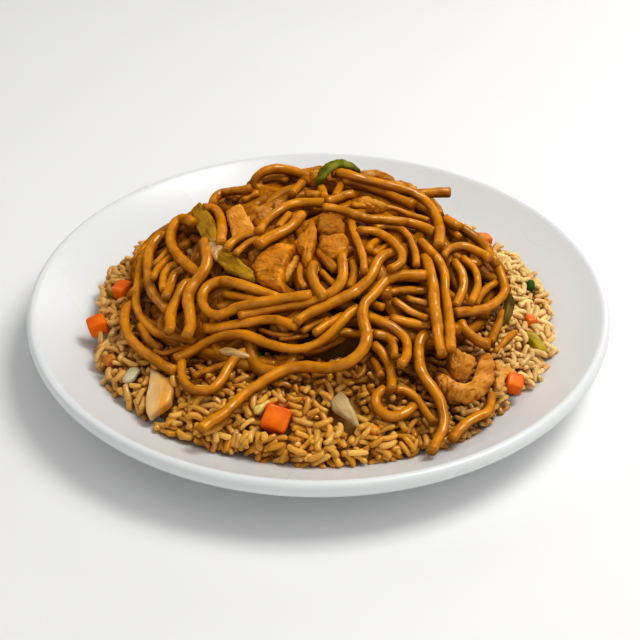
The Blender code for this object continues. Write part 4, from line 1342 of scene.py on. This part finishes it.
# %% lower strands drawn over the picture
lay("inner_left_1", 85, 4.5, D("265,225 310,320 370,390 450,440"), 0.25)
lay("between_1", 70, 3.5, A("525,640 465,700 405,760"), 0.55)
lay("between_2", 66, 3.0, A("560,690 480,750 415,820 385,885"), 0.75)
lay("between_3", 82, 3.0, A("620,755 540,785 490,850 475,930 480,990"), 0.65)
lay("between_4", 88, 2.5, A("680,795 600,835 555,910 530,990 500,1060"), 0.55)
lay("loop_floor", 70, 6.0, B("430,235 540,215 650,228"), 0.35)
lay("loop_stub", 84, 3.0, B("782,255 738,305 690,360"), 0.65)
lay("ring_foot", 90, 2.5, B("960,300 972,345 985,400"), 0.95)
lay("ring_side", 82, 3.0, B("1155,235 1118,300 1082,385"), 0.65)
lay("nub_left_of_ring", 78, 2.5, B("815,362 870,362 935,372"), 0.6)
lay("back_thin_1", 60, 2.0, B("110,395 170,355 230,315"), 0.6)
lay("back_thin_2", 60, 2.0, B("170,410 240,345 330,310"), 0.5)
lay("back_thin_3", 62, 2.5, B("255,410 330,365 400,345"), 0.6)
lay("dark_long_right", 84, 3.0, C("-60,240 60,268 200,305 340,352 460,408 572,454"), 0.5)
lay("pale_right_1", 58, 2.0, C("15,452 150,458 300,466 430,492 560,545 700,592"), 0.7)
lay("arch_outer", 74, 2.0, C("215,662 330,645 440,663 515,718 560,800 588,890 600,990"), 0.6)
lay("pale_stub_right", 76, 4.0, C("160,870 195,805 265,765"), 0.9)
lay("thin_right", 46, 4.0, C("215,892 285,845 355,798"), 0.8)
lay("edge_back_right", 90, 2.5, C("735,430 785,485 808,545"), 0.3)
lay("nub_right", 66, 4.0, C("890,660 930,700 985,740"), 0.8)
lay("dark_under_cube", 92, 4.0, B("935,865 985,925 1035,985 1090,1035"), 0.4)
lay("brown_mid", 80, 4.5, B("1235,960 1250,1050 1238,1130 1205,1200"), 0.3)
lay("bundle_left", 66, 3.5, B("775,990 762,1060 775,1130 815,1200"), 0.45)
lay("bundle_right", 62, 3.5, B("950,1050 1010,1105 1065,1160 1105,1200"), 0.8)
lay("cross_dark_1", 74, 4.5, E("1270,570 1350,572 1440,605 1490,650"), 0.35)
lay("cross_dark_2", 78, 5.0, C("345,1238 450,1225 560,1220 700,1220"), 0.4)
lay("cross_dark_3", 90, 4.5, F("25,625 65,700 100,785"), 0.3)
lay("cross_stub", 80, 4.0, E("1240,290 1310,320 1380,338"), 0.55)
# the low tones of the hollow strands are painted shade in the hollows
lay("hollow_flat", 64, 5.0, E("420,802 540,788 665,790"), 0.25)
lay("hollow_dark", 70, 6.0, E("190,830 300,835 420,845"), 0.15)
lay("slope_1", 72, 3.5, F("325,78 400,100 530,128"), 0.6)
lay("slope_2", 66, 3.0, F("215,92 300,150 390,205 520,258"), 0.55)
lay("slope_3", 95, 2.0, F("185,250 290,280 400,300 540,312"), 0.85)
lay("brown_right_1", 90, 3.5, F("1195,200 1155,300 1115,400 1085,480"), 0.3)
lay("red_right", 84, 2.5, C("1120,1345 1180,1260 1235,1195 1310,1150"), 0.5)
lay("thin_front_1", 56, 3.0, E("270,538 370,572 470,592 570,582"), 0.35)
# the low tones of these hollow strands and of the pocket strand are painted shade
lay("hollow_low", 84, 7.0, E("640,745 740,735 850,700 950,645 1040,600"), 0.2)
lay("hollow_mid", 80, 6.0, E("760,660 850,640 940,590 1010,530"), 0.1)
lay("hollow_cross", 84, 5.0, E("960,555 1060,562 1170,576 1305,567 1458,594"), 0.35)
lay("pocket_dark", 80, 2.5, D("755,690 850,650 960,610 1060,575 1130,550"), 0.05)
lay("thin_front_2", 50, 3.5, E("450,622 560,612 700,585"), 0.4)
print("lower strands drawn:", len(strands_made["upper"]))

# %% [markdown]
# ## Chicken and celery on the heap
#
# The meat was cut across its fibres and has a thin glaze. The large slice shows its cut side
# with a scalloped edge, so it gets stronger ridges. The celery stalks are smooth with ribs.

# %% chicken in the middle of the heap
slab("chicken_slice_cut", "chicken_slice_large",
    B("470,800 560,775 640,765 700,772 712,800 672,850 648,910 632,970 610,1050 600,1110 590,1185 "
    "540,1195 470,1170 400,1150 350,1110 335,1050 312,1000 330,950 365,905 420,850"), heap_top,
    0.8, 7.5, chicken(light=(0.94, 0.31, 0.012), ridge=0.42, period=1.9, rows=44),
    lean=(-0.10, 0.05), fibre_deg=-12, smooth=110)
slab("chicken_slab_cut", "chicken_slab_left",
    B("90,500 140,450 200,420 235,430 270,490 310,560 350,640 360,690 290,700 200,715 150,735 "
    "135,680 110,600"), heap_top, 0.6, 7.0, chicken(light=(0.92, 0.40, 0.06),
    dark=(0.64, 0.20, 0.014), rows=36), fibre_deg=-65, smooth=84)
slab("chicken_strip_cut", "chicken_strip_middle",
    B("850,560 890,560 910,620 915,700 905,780 880,850 860,930 820,945 785,920 775,860 740,820 "
    "715,770 740,720 790,680 830,630"), heap_top, 1.2, 7.0, chicken(light=(0.70, 0.22, 0.004)),
    fibre_deg=75, square=3.5)
slab("chicken_round_cut", "chicken_round_back",
    B("930,510 990,505 1060,520 1140,560 1175,600 1165,660 1110,690 1040,690 960,690 925,650 "
    "918,580"), heap_top, 0.8, 7.5, chicken(light=(0.38, 0.105, 0.004), dark=(0.24, 0.055, 0.002)),
    fibre_deg=30, square=3.5)
slab("chicken_cube_cut", "chicken_cube_front",
    B("935,705 1010,715 1090,700 1150,690 1195,710 1205,780 1190,850 1150,895 1080,905 1000,890 "
    "955,850 940,790"), heap_top, 1.8, 8.5, chicken(light=(0.62, 0.20, 0.006)), square=4.5)
slab("chicken_sliver_cut", "chicken_sliver",
    B("725,870 755,885 748,955 700,1035 640,1105 612,1098 620,1045 655,975 695,915"), heap_top,
    -1.5, 5.0, chicken(light=(0.82, 0.42, 0.06), dark=(0.64, 0.25, 0.02), ridge=0.08),
    fibre_deg=60, square=2.4)
slab("chicken_bit_back_cut", "chicken_bit_back",
    B("320,470 360,445 420,440 490,455 520,480 470,540 430,565 380,560 340,510"), heap_top, -1.5,
    6.0, chicken(light=(0.60, 0.24, 0.05), dark=(0.34, 0.11, 0.02)), fibre_deg=-20, square=3.0)
slab("chicken_bit_by_loop", None,
    B("515,420 545,395 590,400 600,440 575,475 535,470"), heap_top, -0.5, 5.0,
    chicken(light=(0.66, 0.32, 0.10)), square=3.0, smooth=40)
slab("chicken_bit_deep_cut", "chicken_bit_deep",
    B("275,885 330,848 400,830 430,850 385,900 325,955 290,935"), heap_top, -2.0, 5.0,
    chicken(light=(0.62, 0.30, 0.07)), square=3.0, smooth=44)
slab("chicken_bit_left_cut", "chicken_bit_left",
    A("720,660 770,620 802,615 815,680 812,760 795,805 740,745"), heap_top, -3.5, 5.0,
    chicken(light=(0.80, 0.33, 0.05)), fibre_deg=60, square=3.5, smooth=44)
slab("onion_in_loop", None,
    A("640,565 690,530 730,560 738,620 702,660 652,622"), heap_top, -6.0, 4.0,
    onion(light=(0.60, 0.38, 0.18)), square=3.0, smooth=40)
print("height of the map so far:", level.max().round(1), "mm")

# %% celery
slab("celery_stalk_upper", "celery_upper",
    A("801,180 846,243 882,279 918,342 945,414 954,477 927,540 873,558 828,522 792,459 756,396 "
    "729,333 720,279 738,234"), heap_top, 2.4, 4.0, celery(light=(0.46, 0.22, 0.003),
    dark=(0.13, 0.05, 0.001)), fibre_deg=-62, crown=0.05, square=6.0, smooth=84, lean=(-0.15, 0.0))
slab("celery_stalk_lower", "celery_lower",
    A("1008,603 1062,630 1125,675 1188,729 1242,774 1282,815 1284,858 1240,892 1170,873 1098,846 "
    "1035,801 981,747 945,702 936,639 963,603"), heap_top, 2.4, 4.5,
    celery(light=(0.50, 0.26, 0.003), dark=(0.17, 0.07, 0.001)), fibre_deg=-40, crown=0.05,
    square=6.0, smooth=84)
slab("celery_pale_joint", "celery_joint",
    A("873,531 900,504 945,540 990,567 1008,603 972,648 954,702 918,684 891,630 873,585"),
    heap_top, 3.2, 4.0, onion(light=(0.60, 0.29, 0.08), dark=(0.40, 0.15, 0.02), crumb=0.16),
    square=3.6, smooth=60)
print("height of the map so far:", level.max().round(1), "mm")

# %% chicken on the crown
slab("chicken_crown_cut", "chicken_crown",
    B("850,135 868,98 920,84 990,92 1012,130 985,170 930,195 862,188"), heap_top, 3.0, 8.0,
    chicken(light=(0.78, 0.30, 0.02)), tilt=0.2, lean=(0, 0.4), square=3.5)
slab("chicken_crown_right_cut", "chicken_crown_right",
    C("75,150 85,122 120,117 200,124 290,140 360,165 415,200 380,222 300,218 200,204 110,185"),
    heap_top, 2.0, 7.0, chicken(light=(0.74, 0.40, 0.10)), tilt=0.2, lean=(0, 0.4), fibre_deg=-10,
    square=3.5)
slab("chicken_tail_cut", "chicken_tail",
    C("330,230 350,210 420,212 500,245 560,266 606,262 592,302 530,300 450,282 380,262"), heap_top,
    2.0, 6.0, chicken(light=(0.74, 0.36, 0.08)), tilt=0.4, lean=(0, 0.3), fibre_deg=-20,
    square=3.0)
slab("chicken_long_cut", "chicken_long",
    C("68,375 90,362 140,360 180,385 240,392 335,425 300,442 220,442 140,432 90,408"), heap_top,
    -0.5, 5.5, chicken(light=(0.74, 0.30, 0.03), dark=(0.50, 0.16, 0.01)), fibre_deg=-12,
    square=3.0)
print("height of the map so far:", level.max().round(1), "mm")

# %% [markdown]
# ## The strands on top
#
# These are the strands a diner would point at: the hairpin on the left, the long S across the
# front, the two that hang side by side, the loops on the crown. They are laid last, from the
# lower to the upper, so they cross in the same order as in the picture.

# %% upper strands, left
lay("left_bright", 92, 0.8, A("285,700 268,800 260,900 252,1000 238,1080") + D("250,95 292,180 "
    "360,255 440,305 530,328 630,350 720,368 775,392"), 0.75)
lay("left_edge", 105, 0.8, D("215,25 155,85 128,170 150,285 205,380 290,460 390,530 480,590 "
    "590,640"), 0.7)
lay("left_outer", 108, 0.0, A("505,505 455,505 405,555 362,625 345,700 342,800 348,900 372,990 "
    "425,1070 485,1130 540,1190"), 0.5)
lay("left_inner", 100, 1.0, A("760,925 690,925 635,990 598,1070 555,1160 540,1240") + D("545,240 "
    "525,290"), 0.55)
lay("right_of_celery", 95, 0.5, A("850,250 915,248 970,290 1002,370 1008,450 1000,520 1000,575"),
    0.6)
lay("outline_left", 84, 0.5, A("925,215 945,165 1000,122 1100,102 1200,92 1270,76"), 0.55,
    lift=(0.5, 1.0, 1.5, 1.5))
lay("left_loop", 100, 0.0, A("748,392 700,362 640,358 588,395 553,470 548,545 568,620 620,695 "
    "690,760 760,815 830,865"), 0.65, lift=(0, 1.0, 1.0, 0.5, 0, 0))
lay("left_drop", 108, 0.0, A("848,555 862,620 876,700 866,775 825,850 770,920 722,990 703,1060 "
    "708,1130 722,1210") + D("728,200 715,265 688,325"), 0.6)
lay("behind_celery_1", 80, 1.5, B("430,712 330,710 225,742 145,795 100,850"), 0.6)
lay("behind_celery_2", 66, 1.5, B("395,745 305,788 235,840 185,890"), 0.6)
print("strands drawn:", len(strands_made["upper"]))

# %% upper strands, front
lay("front_wrinkle_1", 70, 2.0, E("650,548 720,508 800,480 890,448"), 0.45)
lay("front_wrinkle_2", 76, 1.5, E("765,575 850,512 930,460 1010,405"), 0.7)
lay("left_short", 60, 1.5, D("395,462 480,486 560,465 650,435 730,428"), 0.6)
lay("front_short", 96, 0.0, D("845,255 950,248 1060,232 1180,210 1300,192") + E("320,450 420,448 "
    "490,465 552,495 605,514"), 0.62)
lay("left_long", 98, 0.0, D("592,530 680,488 780,432 880,375 990,330 1100,315 1210,315 1310,345 "
    "1400,385") + E("420,685 530,705 640,705 740,680 830,630 910,570 980,500 1040,430 1090,385 "
    "1150,350"), 0.6)
lay("bundle_thick", 96, 1.5, B("890,985 868,1070 892,1150 940,1220 990,1275"), 0.5)
lay("cross_high", 92, 0.8, B("1140,905 1148,990") + E("1015,35 995,110 940,180 860,235 770,275 "
    "690,300 580,320 450,340 300,365 180,388 85,412"), 0.68)
lay("cross_low", 102, 0.0, C("395,868 310,900 250,960 215,1040 180,1100") + E("1200,135 1120,200 "
    "1030,245 930,290 830,335 730,385 640,440 598,472"), 0.6)
lay("hairpin_inside", 74, 1.5, A("1030,1030 1120,1045 1220,1065 1340,1090"), 0.7)
lay("hairpin", 98, -0.5, E("728,222 620,240 500,258 380,275 270,292") + A("1250,1122 1150,1150 "
    "1060,1190 970,1218 890,1195 840,1130 828,1060 855,985 920,935 1010,915 1110,925 1220,955 "
    "1320,990 1420,1025 1510,1060"), 0.62)
lay("slim_down", 80, 0.0, B("1215,565 1240,660 1275,760 1310,860 1335,950 1345,1050"), 0.72)
lay("front_nest", 86, 1.5, F("30,395 110,405 180,440 215,510 222,600"), 0.6)
lay("front_bow", 96, 0.5, E("1235,422 1300,438") + F("100,285 190,325 270,385 320,455 335,530 "
    "325,610 275,680"), 0.62)
lay("cup", 96, 0.0, D("645,545 647,650 668,730 725,795 800,820 880,818 950,780 1010,710 1060,620 "
    "1110,545 1165,490 1220,466"), 0.6)
lay("front_leg", 98, 0.5, F("30,490 95,545 145,620 178,700 192,790 190,900"), 0.64)
lay("ring_upper", 94, 1.0, F("225,895 310,905 390,955 450,1030 500,1100 560,1190"), 0.5)
lay("ring_lower", 106, 1.0, F("125,890 62,950 50,1020 90,1090 170,1130 260,1130 340,1095 "
    "392,1045"), 0.5)
lay("front_s", 110, -0.3, C("690,1090 540,1085 430,1090 340,1120 285,1170 240,1230")
    + E("1270,245 1215,300 1192,370 1198,450 1218,530 1228,610 1210,690 1160,765 1080,825 980,865 "
    "870,885 760,878 650,870 550,882 460,912 370,960 280,1015 190,1075 100,1140") + D("1110,940 "
    "1040,1010 970,1060 910,1095 850,1140 812,1168"), 0.68, bend_radius=70.0)
print("strands drawn:", len(strands_made["upper"]))

# %% upper strands, right and crown
lay("arch_inner", 84, 0.5, C("90,680 200,685 300,720 380,775 440,840 468,910 455,970 400,1010 "
    "350,1038"), 0.65)
lay("arch_top", 86, 0.0, B("395,695 440,620 500,555 580,500 660,455 760,430 880,430 1000,436"),
    0.6)
lay("arch_top_end", 80, 0.0, B("1000,424 1080,402 1160,370 1245,355"), 0.68)
lay("stub_behind", 72, 1.0, B("668,530 620,592 570,655"), 0.6)
lay("stub_left", 108, -0.5, B("778,540 722,610 650,668 560,715 470,755 385,812"), 0.62)
lay("arch_over", 86, 0.0, B("975,468 1060,480 1160,505 1260,540") + C("150,572 300,582 430,595 "
    "560,615 680,660 760,700"), 0.6)
lay("right_low_1", 105, 0.5, F("818,295 860,365 920,425 1000,475 1072,482"), 0.5)
lay("right_strip", 72, 0.5, F("1125,560 1180,500 1240,430 1305,382"), 0.6)
lay("bow_inner", 84, 0.5, C("930,960 990,1030 1020,1110 1020,1200 985,1290 945,1360"), 0.7)
lay("bow_outer", 82, 0.0, C("1015,925 1090,990 1135,1070 1150,1160 1130,1250 1085,1335"), 0.68)
lay("rim_back", 96, 0.0, C("850,575 930,625 1020,670 1110,725 1180,785 1240,860"), 0.5)
lay("right_arch", 86, 0.0, C("835,925 880,860 950,828 1030,825 1110,855 1190,890 1255,940"), 0.68)
lay("rim_front", 98, 0.0, C("1222,850 1275,920 1320,1000 1355,1080 1385,1160 1390,1230")
    + F("1175,75 1110,130 1030,170 930,190 840,198 762,210"), 0.6)
lay("down_one", 106, 0.0, C("668,918 705,1000 730,1080 745,1160 755,1250") + F("572,50 585,160 "
    "598,280 612,400 628,480 652,578"), 0.64)
lay("down_two", 92, -0.5, C("635,778 720,860 795,945 840,1040 852,1130 853,1240") + F("680,50 "
    "698,170 712,300 720,400 722,480 726,538"), 0.74)
lay("top_loop", 86, 0.0, B("905,262 870,222 800,185 700,148 560,125 450,145 385,195 352,250 "
    "385,297 460,318 550,334 620,365 672,425"), 0.58, stand=(40.0, 24.0))
lay("stick_out", 98, 0.0, C("520,362 650,350 760,341 895,333"), 0.6, stand=(36.0, 38.0))
lay("top_long", 90, 0.0, B("1060,158 1150,172") + C("0,185 120,215 240,245 350,275 450,305 "
    "540,330 610,365 680,415 740,485 778,560 802,640 806,720 800,815"), 0.62)
lay("front_hang", 114, 0.0, F("505,395 455,440 442,520 440,610 455,710 500,800 560,880 620,970 "
    "650,1060 662,1160 650,1260 610,1350 558,1452"), 0.62)
lay("edge_right", 104, 0.0, F("738,1350 800,1270 880,1190 970,1140 1050,1105 1085,1035 1095,950"),
    0.5)
print("strands on the heap:", len(strands_made["upper"]))

# %% strands into two meshes
for layer, title in (("lower", "noodles_beneath"), ("upper", "noodles_on_top")):
    parts = strands_made[layer]
    points, quads, caps = joined(parts)
    item = make_piece(title, points, quads, caps, NOODLE, "noodle",
                      np.vstack([part[3] for part in parts]),
                      np.vstack([part[4] for part in parts]))
    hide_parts("noodles")
    print(title, len(parts), "strands,", 2 * len(quads) + len(caps), "triangles, highest",
          round(float(points[:, 2].max()), 1), "mm")
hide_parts("noodles")

# %% [markdown]
# ## The curled strip and the ring
#
# A strip of chicken curls round at the right foot of the heap, and a thin ring of green stands
# on the crown. Both are strips along a bent line whose width changes along the way.

# %% strips
def strip(name, node, path, widths, thick, options):
    """A bent strip: an oval as wide as its own list says, carried along a path."""
    path = smooth_through(path, 90)
    widths = np.interp(np.linspace(0, 1, len(path)), np.linspace(0, 1, len(widths)), widths)
    ahead = unit(np.gradient(path, axis=0))
    side = unit(np.cross(ahead, UPRIGHT))
    lifted = np.cross(side, ahead)
    turn = np.linspace(0, 2 * math.pi, 30, endpoint=False)
    a, b = signed_power(np.cos(turn), 0.8), signed_power(np.sin(turn), 0.8)
    s = np.linspace(-1, 1, len(path))
    close = (1 - np.abs(s) ** 7) ** 0.5 + 0.02
    rings = (path[:, None, :] + (close * widths / 2)[:, None, None] * a[None, :, None]
             * side[:, None, :] + (close * thick / 2)[:, None, None] * b[None, :, None]
             * lifted[:, None, :])
    along = unit(path[-1] - path[0])
    return finish_piece(name, rings, rings.mean((0, 1)), along, np.cross(UPRIGHT, along),
                        UPRIGHT, options, node)


# %% the curled chicken and the ring
slab("chicken_in_curl_cut", "chicken_in_curl",
    F("770,510 830,540 900,570 960,590 965,620 940,700 920,780 880,830 790,830 740,810 720,740 "
    "725,620 750,540"), rice_top, 6.5, 8.0, chicken(light=(0.70, 0.27, 0.03),
    dark=(0.42, 0.13, 0.01)), tilt=1.5, lean=(0, 0.7), fibre_deg=75, square=5.0)
slab("chicken_edge_cut", "chicken_edge_right",
    F("1140,630 1180,630 1240,670 1300,710 1305,750 1240,775 1215,830 1200,880 1150,890 1130,820 "
    "1140,740 1130,680"), rice_top, 5.0, 6.0, chicken(light=(0.84, 0.42, 0.10),
    dark=(0.62, 0.25, 0.03)), square=4.0)
curl_line = seen_on(F("632,760 655,830 715,885 800,925 890,925 970,880 1018,810 1040,730 1045,650 "
    "1035,575"), rice_top, 4.4)
strip("chicken_curl_strip", "chicken_curl", curl_line, (5.0, 6.2, 6.4, 6.2, 6.8, 7.4, 7.0, 6.0),
    6.6, chicken(light=(0.90, 0.37, 0.06), dark=(0.36, 0.09, 0.006), ridge=0.35, crumb=0.22,
    crease=0.8, lumps=0.6, groove=0.8))
ring_px = np.array(B("925,290 935,240 960,190 1000,135 1060,95 1120,78 1180,84 1230,103 1275,132 "
    "1300,165"))
ring_lines = sight_lines(ring_px)
ring_y = np.interp(np.arange(10), (0, 2, 3, 5, 9), (22.2, 21.2, 24.4, 31.5, 36.0))
ring_path = EYE + ring_lines * ((ring_y - EYE[1]) / ring_lines[:, 1])[:, None]
strip("green_ring_strip", "green_ring", ring_path, (4.4, 4.2, 4.8, 5.6, 6.4, 5.4, 3.6), 2.6,
    greens(light=(0.22, 0.21, 0.006), dark=(0.07, 0.075, 0.003), ridge=0.2))
print("height of the map with the ring:", level.max().round(1), "mm")

# %% [markdown]
# ## Small things
#
# A shred of yellow pepper by the carrot, a crumb of carrot on the right and a dark green bit on
# the left finish the bed.

# %% crumbs and shreds
slab("yellow_shred", None,
    G("252,300 270,268 330,240 392,212 412,228 372,262 340,300 310,338 268,335"), rice_top, 4.2,
    2.4, onion(light=(0.80, 0.60, 0.12), dark=(0.66, 0.42, 0.04)), square=2.6, smooth=48,
    fibre_deg=30)
chunk("carrot_crumb_right", None, (85.4, -21.0), (4.4, 4.2, 4.4), 15, rice_top, -0.4,
    carrot(light=(0.92, 0.20, 0.01)), square=4.0)
slab("leaf_by_heap", "green_slab_right",
    H("275,318 302,345 322,400 318,470 298,540 262,605 222,640 222,560 240,480 255,400"), rice_top,
    8.0, 3.0, greens(light=(0.16, 0.085, 0.010), dark=(0.07, 0.032, 0.004)), tilt=1.0,
    lean=(0.6, 0.5), square=2.8, smooth=60, fibre_deg=70)
slab("carrot_shred_front", None,
    G("1235,440 1290,428 1350,442 1405,478 1395,520 1330,528 1265,500"), rice_top, 3.6, 3.0,
    carrot(light=(0.98, 0.36, 0.02), dark=(0.80, 0.24, 0.01)), square=2.8, smooth=44)
slab("leaf_shred_pale", None,
    D("972,438 1040,418 1120,432 1190,452 1250,478 1240,500 1160,492 1080,478 1010,470"), rice_top,
    9.0, 2.4, onion(light=(0.55, 0.33, 0.09), dark=(0.28, 0.14, 0.025)), square=2.6, smooth=48,
    fibre_deg=-10)
slab("leaf_shred_green", None,
    D("1200,425 1260,415 1330,440 1368,478 1345,508 1280,500 1225,470"), rice_top, 7.0, 2.6,
    greens(light=(0.10, 0.085, 0.006), dark=(0.03, 0.03, 0.002)), square=2.6, smooth=44,
    fibre_deg=-25)
slab("green_bit_left", None,
    J("685,595 720,570 762,575 768,612 722,632 690,615"), rice_top, 1.5, 3.0,
    greens(light=(0.26, 0.20, 0.01)), square=2.8, smooth=36)
print("meshes:", len(bpy.data.meshes))

# %% [markdown]
# ## Painted shade in the hollows
#
# Little light reaches the points that lie low between the strands, and sauce runs down and
# gathers there too, a thicker film taking away more green and blue than red. So the last step on
# the food darkens each point by how far it lies below the softened map, as painted shade: its
# colour is multiplied by a falling exponential of that depth.

# %% painted shade by depth
SHADE_TAKEN = np.array((0.12, 0.185, 0.22))          # what a millimetre of depth takes of each colour, as painted shade and sauce
SHADED_BY = {"noodle": 1.0, "chicken": 0.7, "celery": 0.6, "rice": 0.45, "onion": 0.3}


def soft_map(heights, spread):
    """The map blurred by a bell curve of the given spread, as two matrix products."""
    steps = np.arange(2 * HALF + 1) * CELL
    weight = np.exp(-((steps[:, None] - steps[None, :]) / spread) ** 2 / 2)
    weight /= weight.sum(axis=1, keepdims=True)
    return weight @ heights @ weight.T


food_level = soft_map(level, 4.0)
for item in list(bpy.context.scene.objects):
    if item.type != "MESH" or "tint" not in item.data.attributes:
        continue
    strength = SHADED_BY.get(item["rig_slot"], 0.5)
    count = len(item.data.vertices)
    places = np.empty(count * 3, np.float32)
    item.data.vertices.foreach_get("co", places)
    places = places.reshape(-1, 3) / MM
    colours = np.empty(count * 4, np.float32)
    item.data.attributes["tint"].data.foreach_get("color", colours)
    colours = colours.reshape(-1, 4)
    below = np.clip(read_map(food_level, places[:, 0], places[:, 1]) - places[:, 2], 0, 16)
    colours[:, :3] *= np.exp(-strength * below[:, None] * SHADE_TAKEN)
    item.data.attributes["tint"].data.foreach_set("color", colours.ravel())
print("softened map is at most", food_level.max().round(1), "mm high")

# %% [markdown]
# ## Table and light
#
# The dish stands on a white table under one large lamp, high up on the right and a little
# behind, which throws a soft shadow to the left. A pale surround fills the shadows.

# %% table and backdrop
TABLE_SPAN, TABLE_FRONT, TABLE_BACK, WALL_HEIGHT = 3.0, -1.5, 1.6, 2.0      # metres
FLAT_ROWS, WALL_ROWS = 60, 20
across = np.linspace(-TABLE_SPAN, TABLE_SPAN, 61)
sweep = np.concatenate([np.linspace(TABLE_FRONT, TABLE_BACK, FLAT_ROWS),
                        np.full(WALL_ROWS, TABLE_BACK)])
rise = np.concatenate([np.zeros(FLAT_ROWS), np.linspace(0.0, WALL_HEIGHT, WALL_ROWS)])
rounding = np.exp(-((sweep - TABLE_BACK) / 0.25) ** 2) * 0.10 * (rise == 0)
table_x, table_v = np.meshgrid(across, np.arange(FLAT_ROWS + WALL_ROWS), indexing="ij")
table_points = np.stack([table_x, sweep[table_v], (rise + rounding)[table_v]], -1)
mesh = bpy.data.meshes.new("table")
rows, columns = table_x.shape
row, column = np.meshgrid(np.arange(rows - 1), np.arange(columns - 1), indexing="ij")
first = row * columns + column
table_quads = np.stack([first, first + columns, first + columns + 1, first + 1], -1)
mesh.from_pydata(table_points.reshape(-1, 3).tolist(), [], table_quads.reshape(-1, 4).tolist())
mesh.shade_smooth()
table = bpy.data.objects.new("table", mesh)
bpy.context.scene.collection.objects.link(table)
white_table, tree, shader, place = new_material("white_table")
soft = noise_node(tree, place, 6.0, 2.0)
tree.links.new(blend_node(tree, soft.outputs["Fac"], (0.82, 0.82, 0.82, 1),
                          (0.86, 0.86, 0.86, 1)), shader.inputs["Base Color"])
shader.inputs["Roughness"].default_value = 0.65
table.data.materials.append(white_table)
print("table:", len(mesh.polygons), "faces")

# %% lamps
def lamp(name, direction, distance, width, power, colour=(1.0, 1.0, 1.0)):
    """A square lamp that looks at the dish from a direction."""
    light = bpy.data.lights.new(name, "AREA")
    light.energy = power
    light.size = width
    light.color = colour
    item = bpy.data.objects.new(name, light)
    away = Vector(direction).normalized()
    item.location = away * distance + Vector((0.0, 0.0, 0.03))
    item.rotation_euler = (-away).to_track_quat("-Z", "Y").to_euler()
    bpy.context.scene.collection.objects.link(item)


lamp("key_softbox", (0.44, 0.06, 0.895), 0.95, 0.42, 6.1, (1.0, 0.985, 0.96))
lamp("ceiling_panel", (0.30, -0.25, 0.93), 1.35, 1.3, 3.8)
lamp("right_window", (0.88, -0.05, 0.42), 2.0, 1.4, 1.7)
lamp("front_panel", (-0.25, -0.90, 0.36), 1.5, 1.0, 3.2)
lamp("back_strip", (0.50, 0.80, 0.33), 1.2, 0.6, 2.5)
lamp("left_window", (-0.75, 0.35, 0.56), 1.3, 0.35, 1.1)
surround = bpy.data.worlds.new("surround")
surround.use_nodes = True
surround.node_tree.nodes["Background"].inputs["Color"].default_value = (1.0, 1.0, 1.0, 1)
surround.node_tree.nodes["Background"].inputs["Strength"].default_value = 0.275
bpy.context.scene.world = surround
bpy.context.scene.view_settings.view_transform = "Standard"
print("lamps:", len(bpy.data.lights))
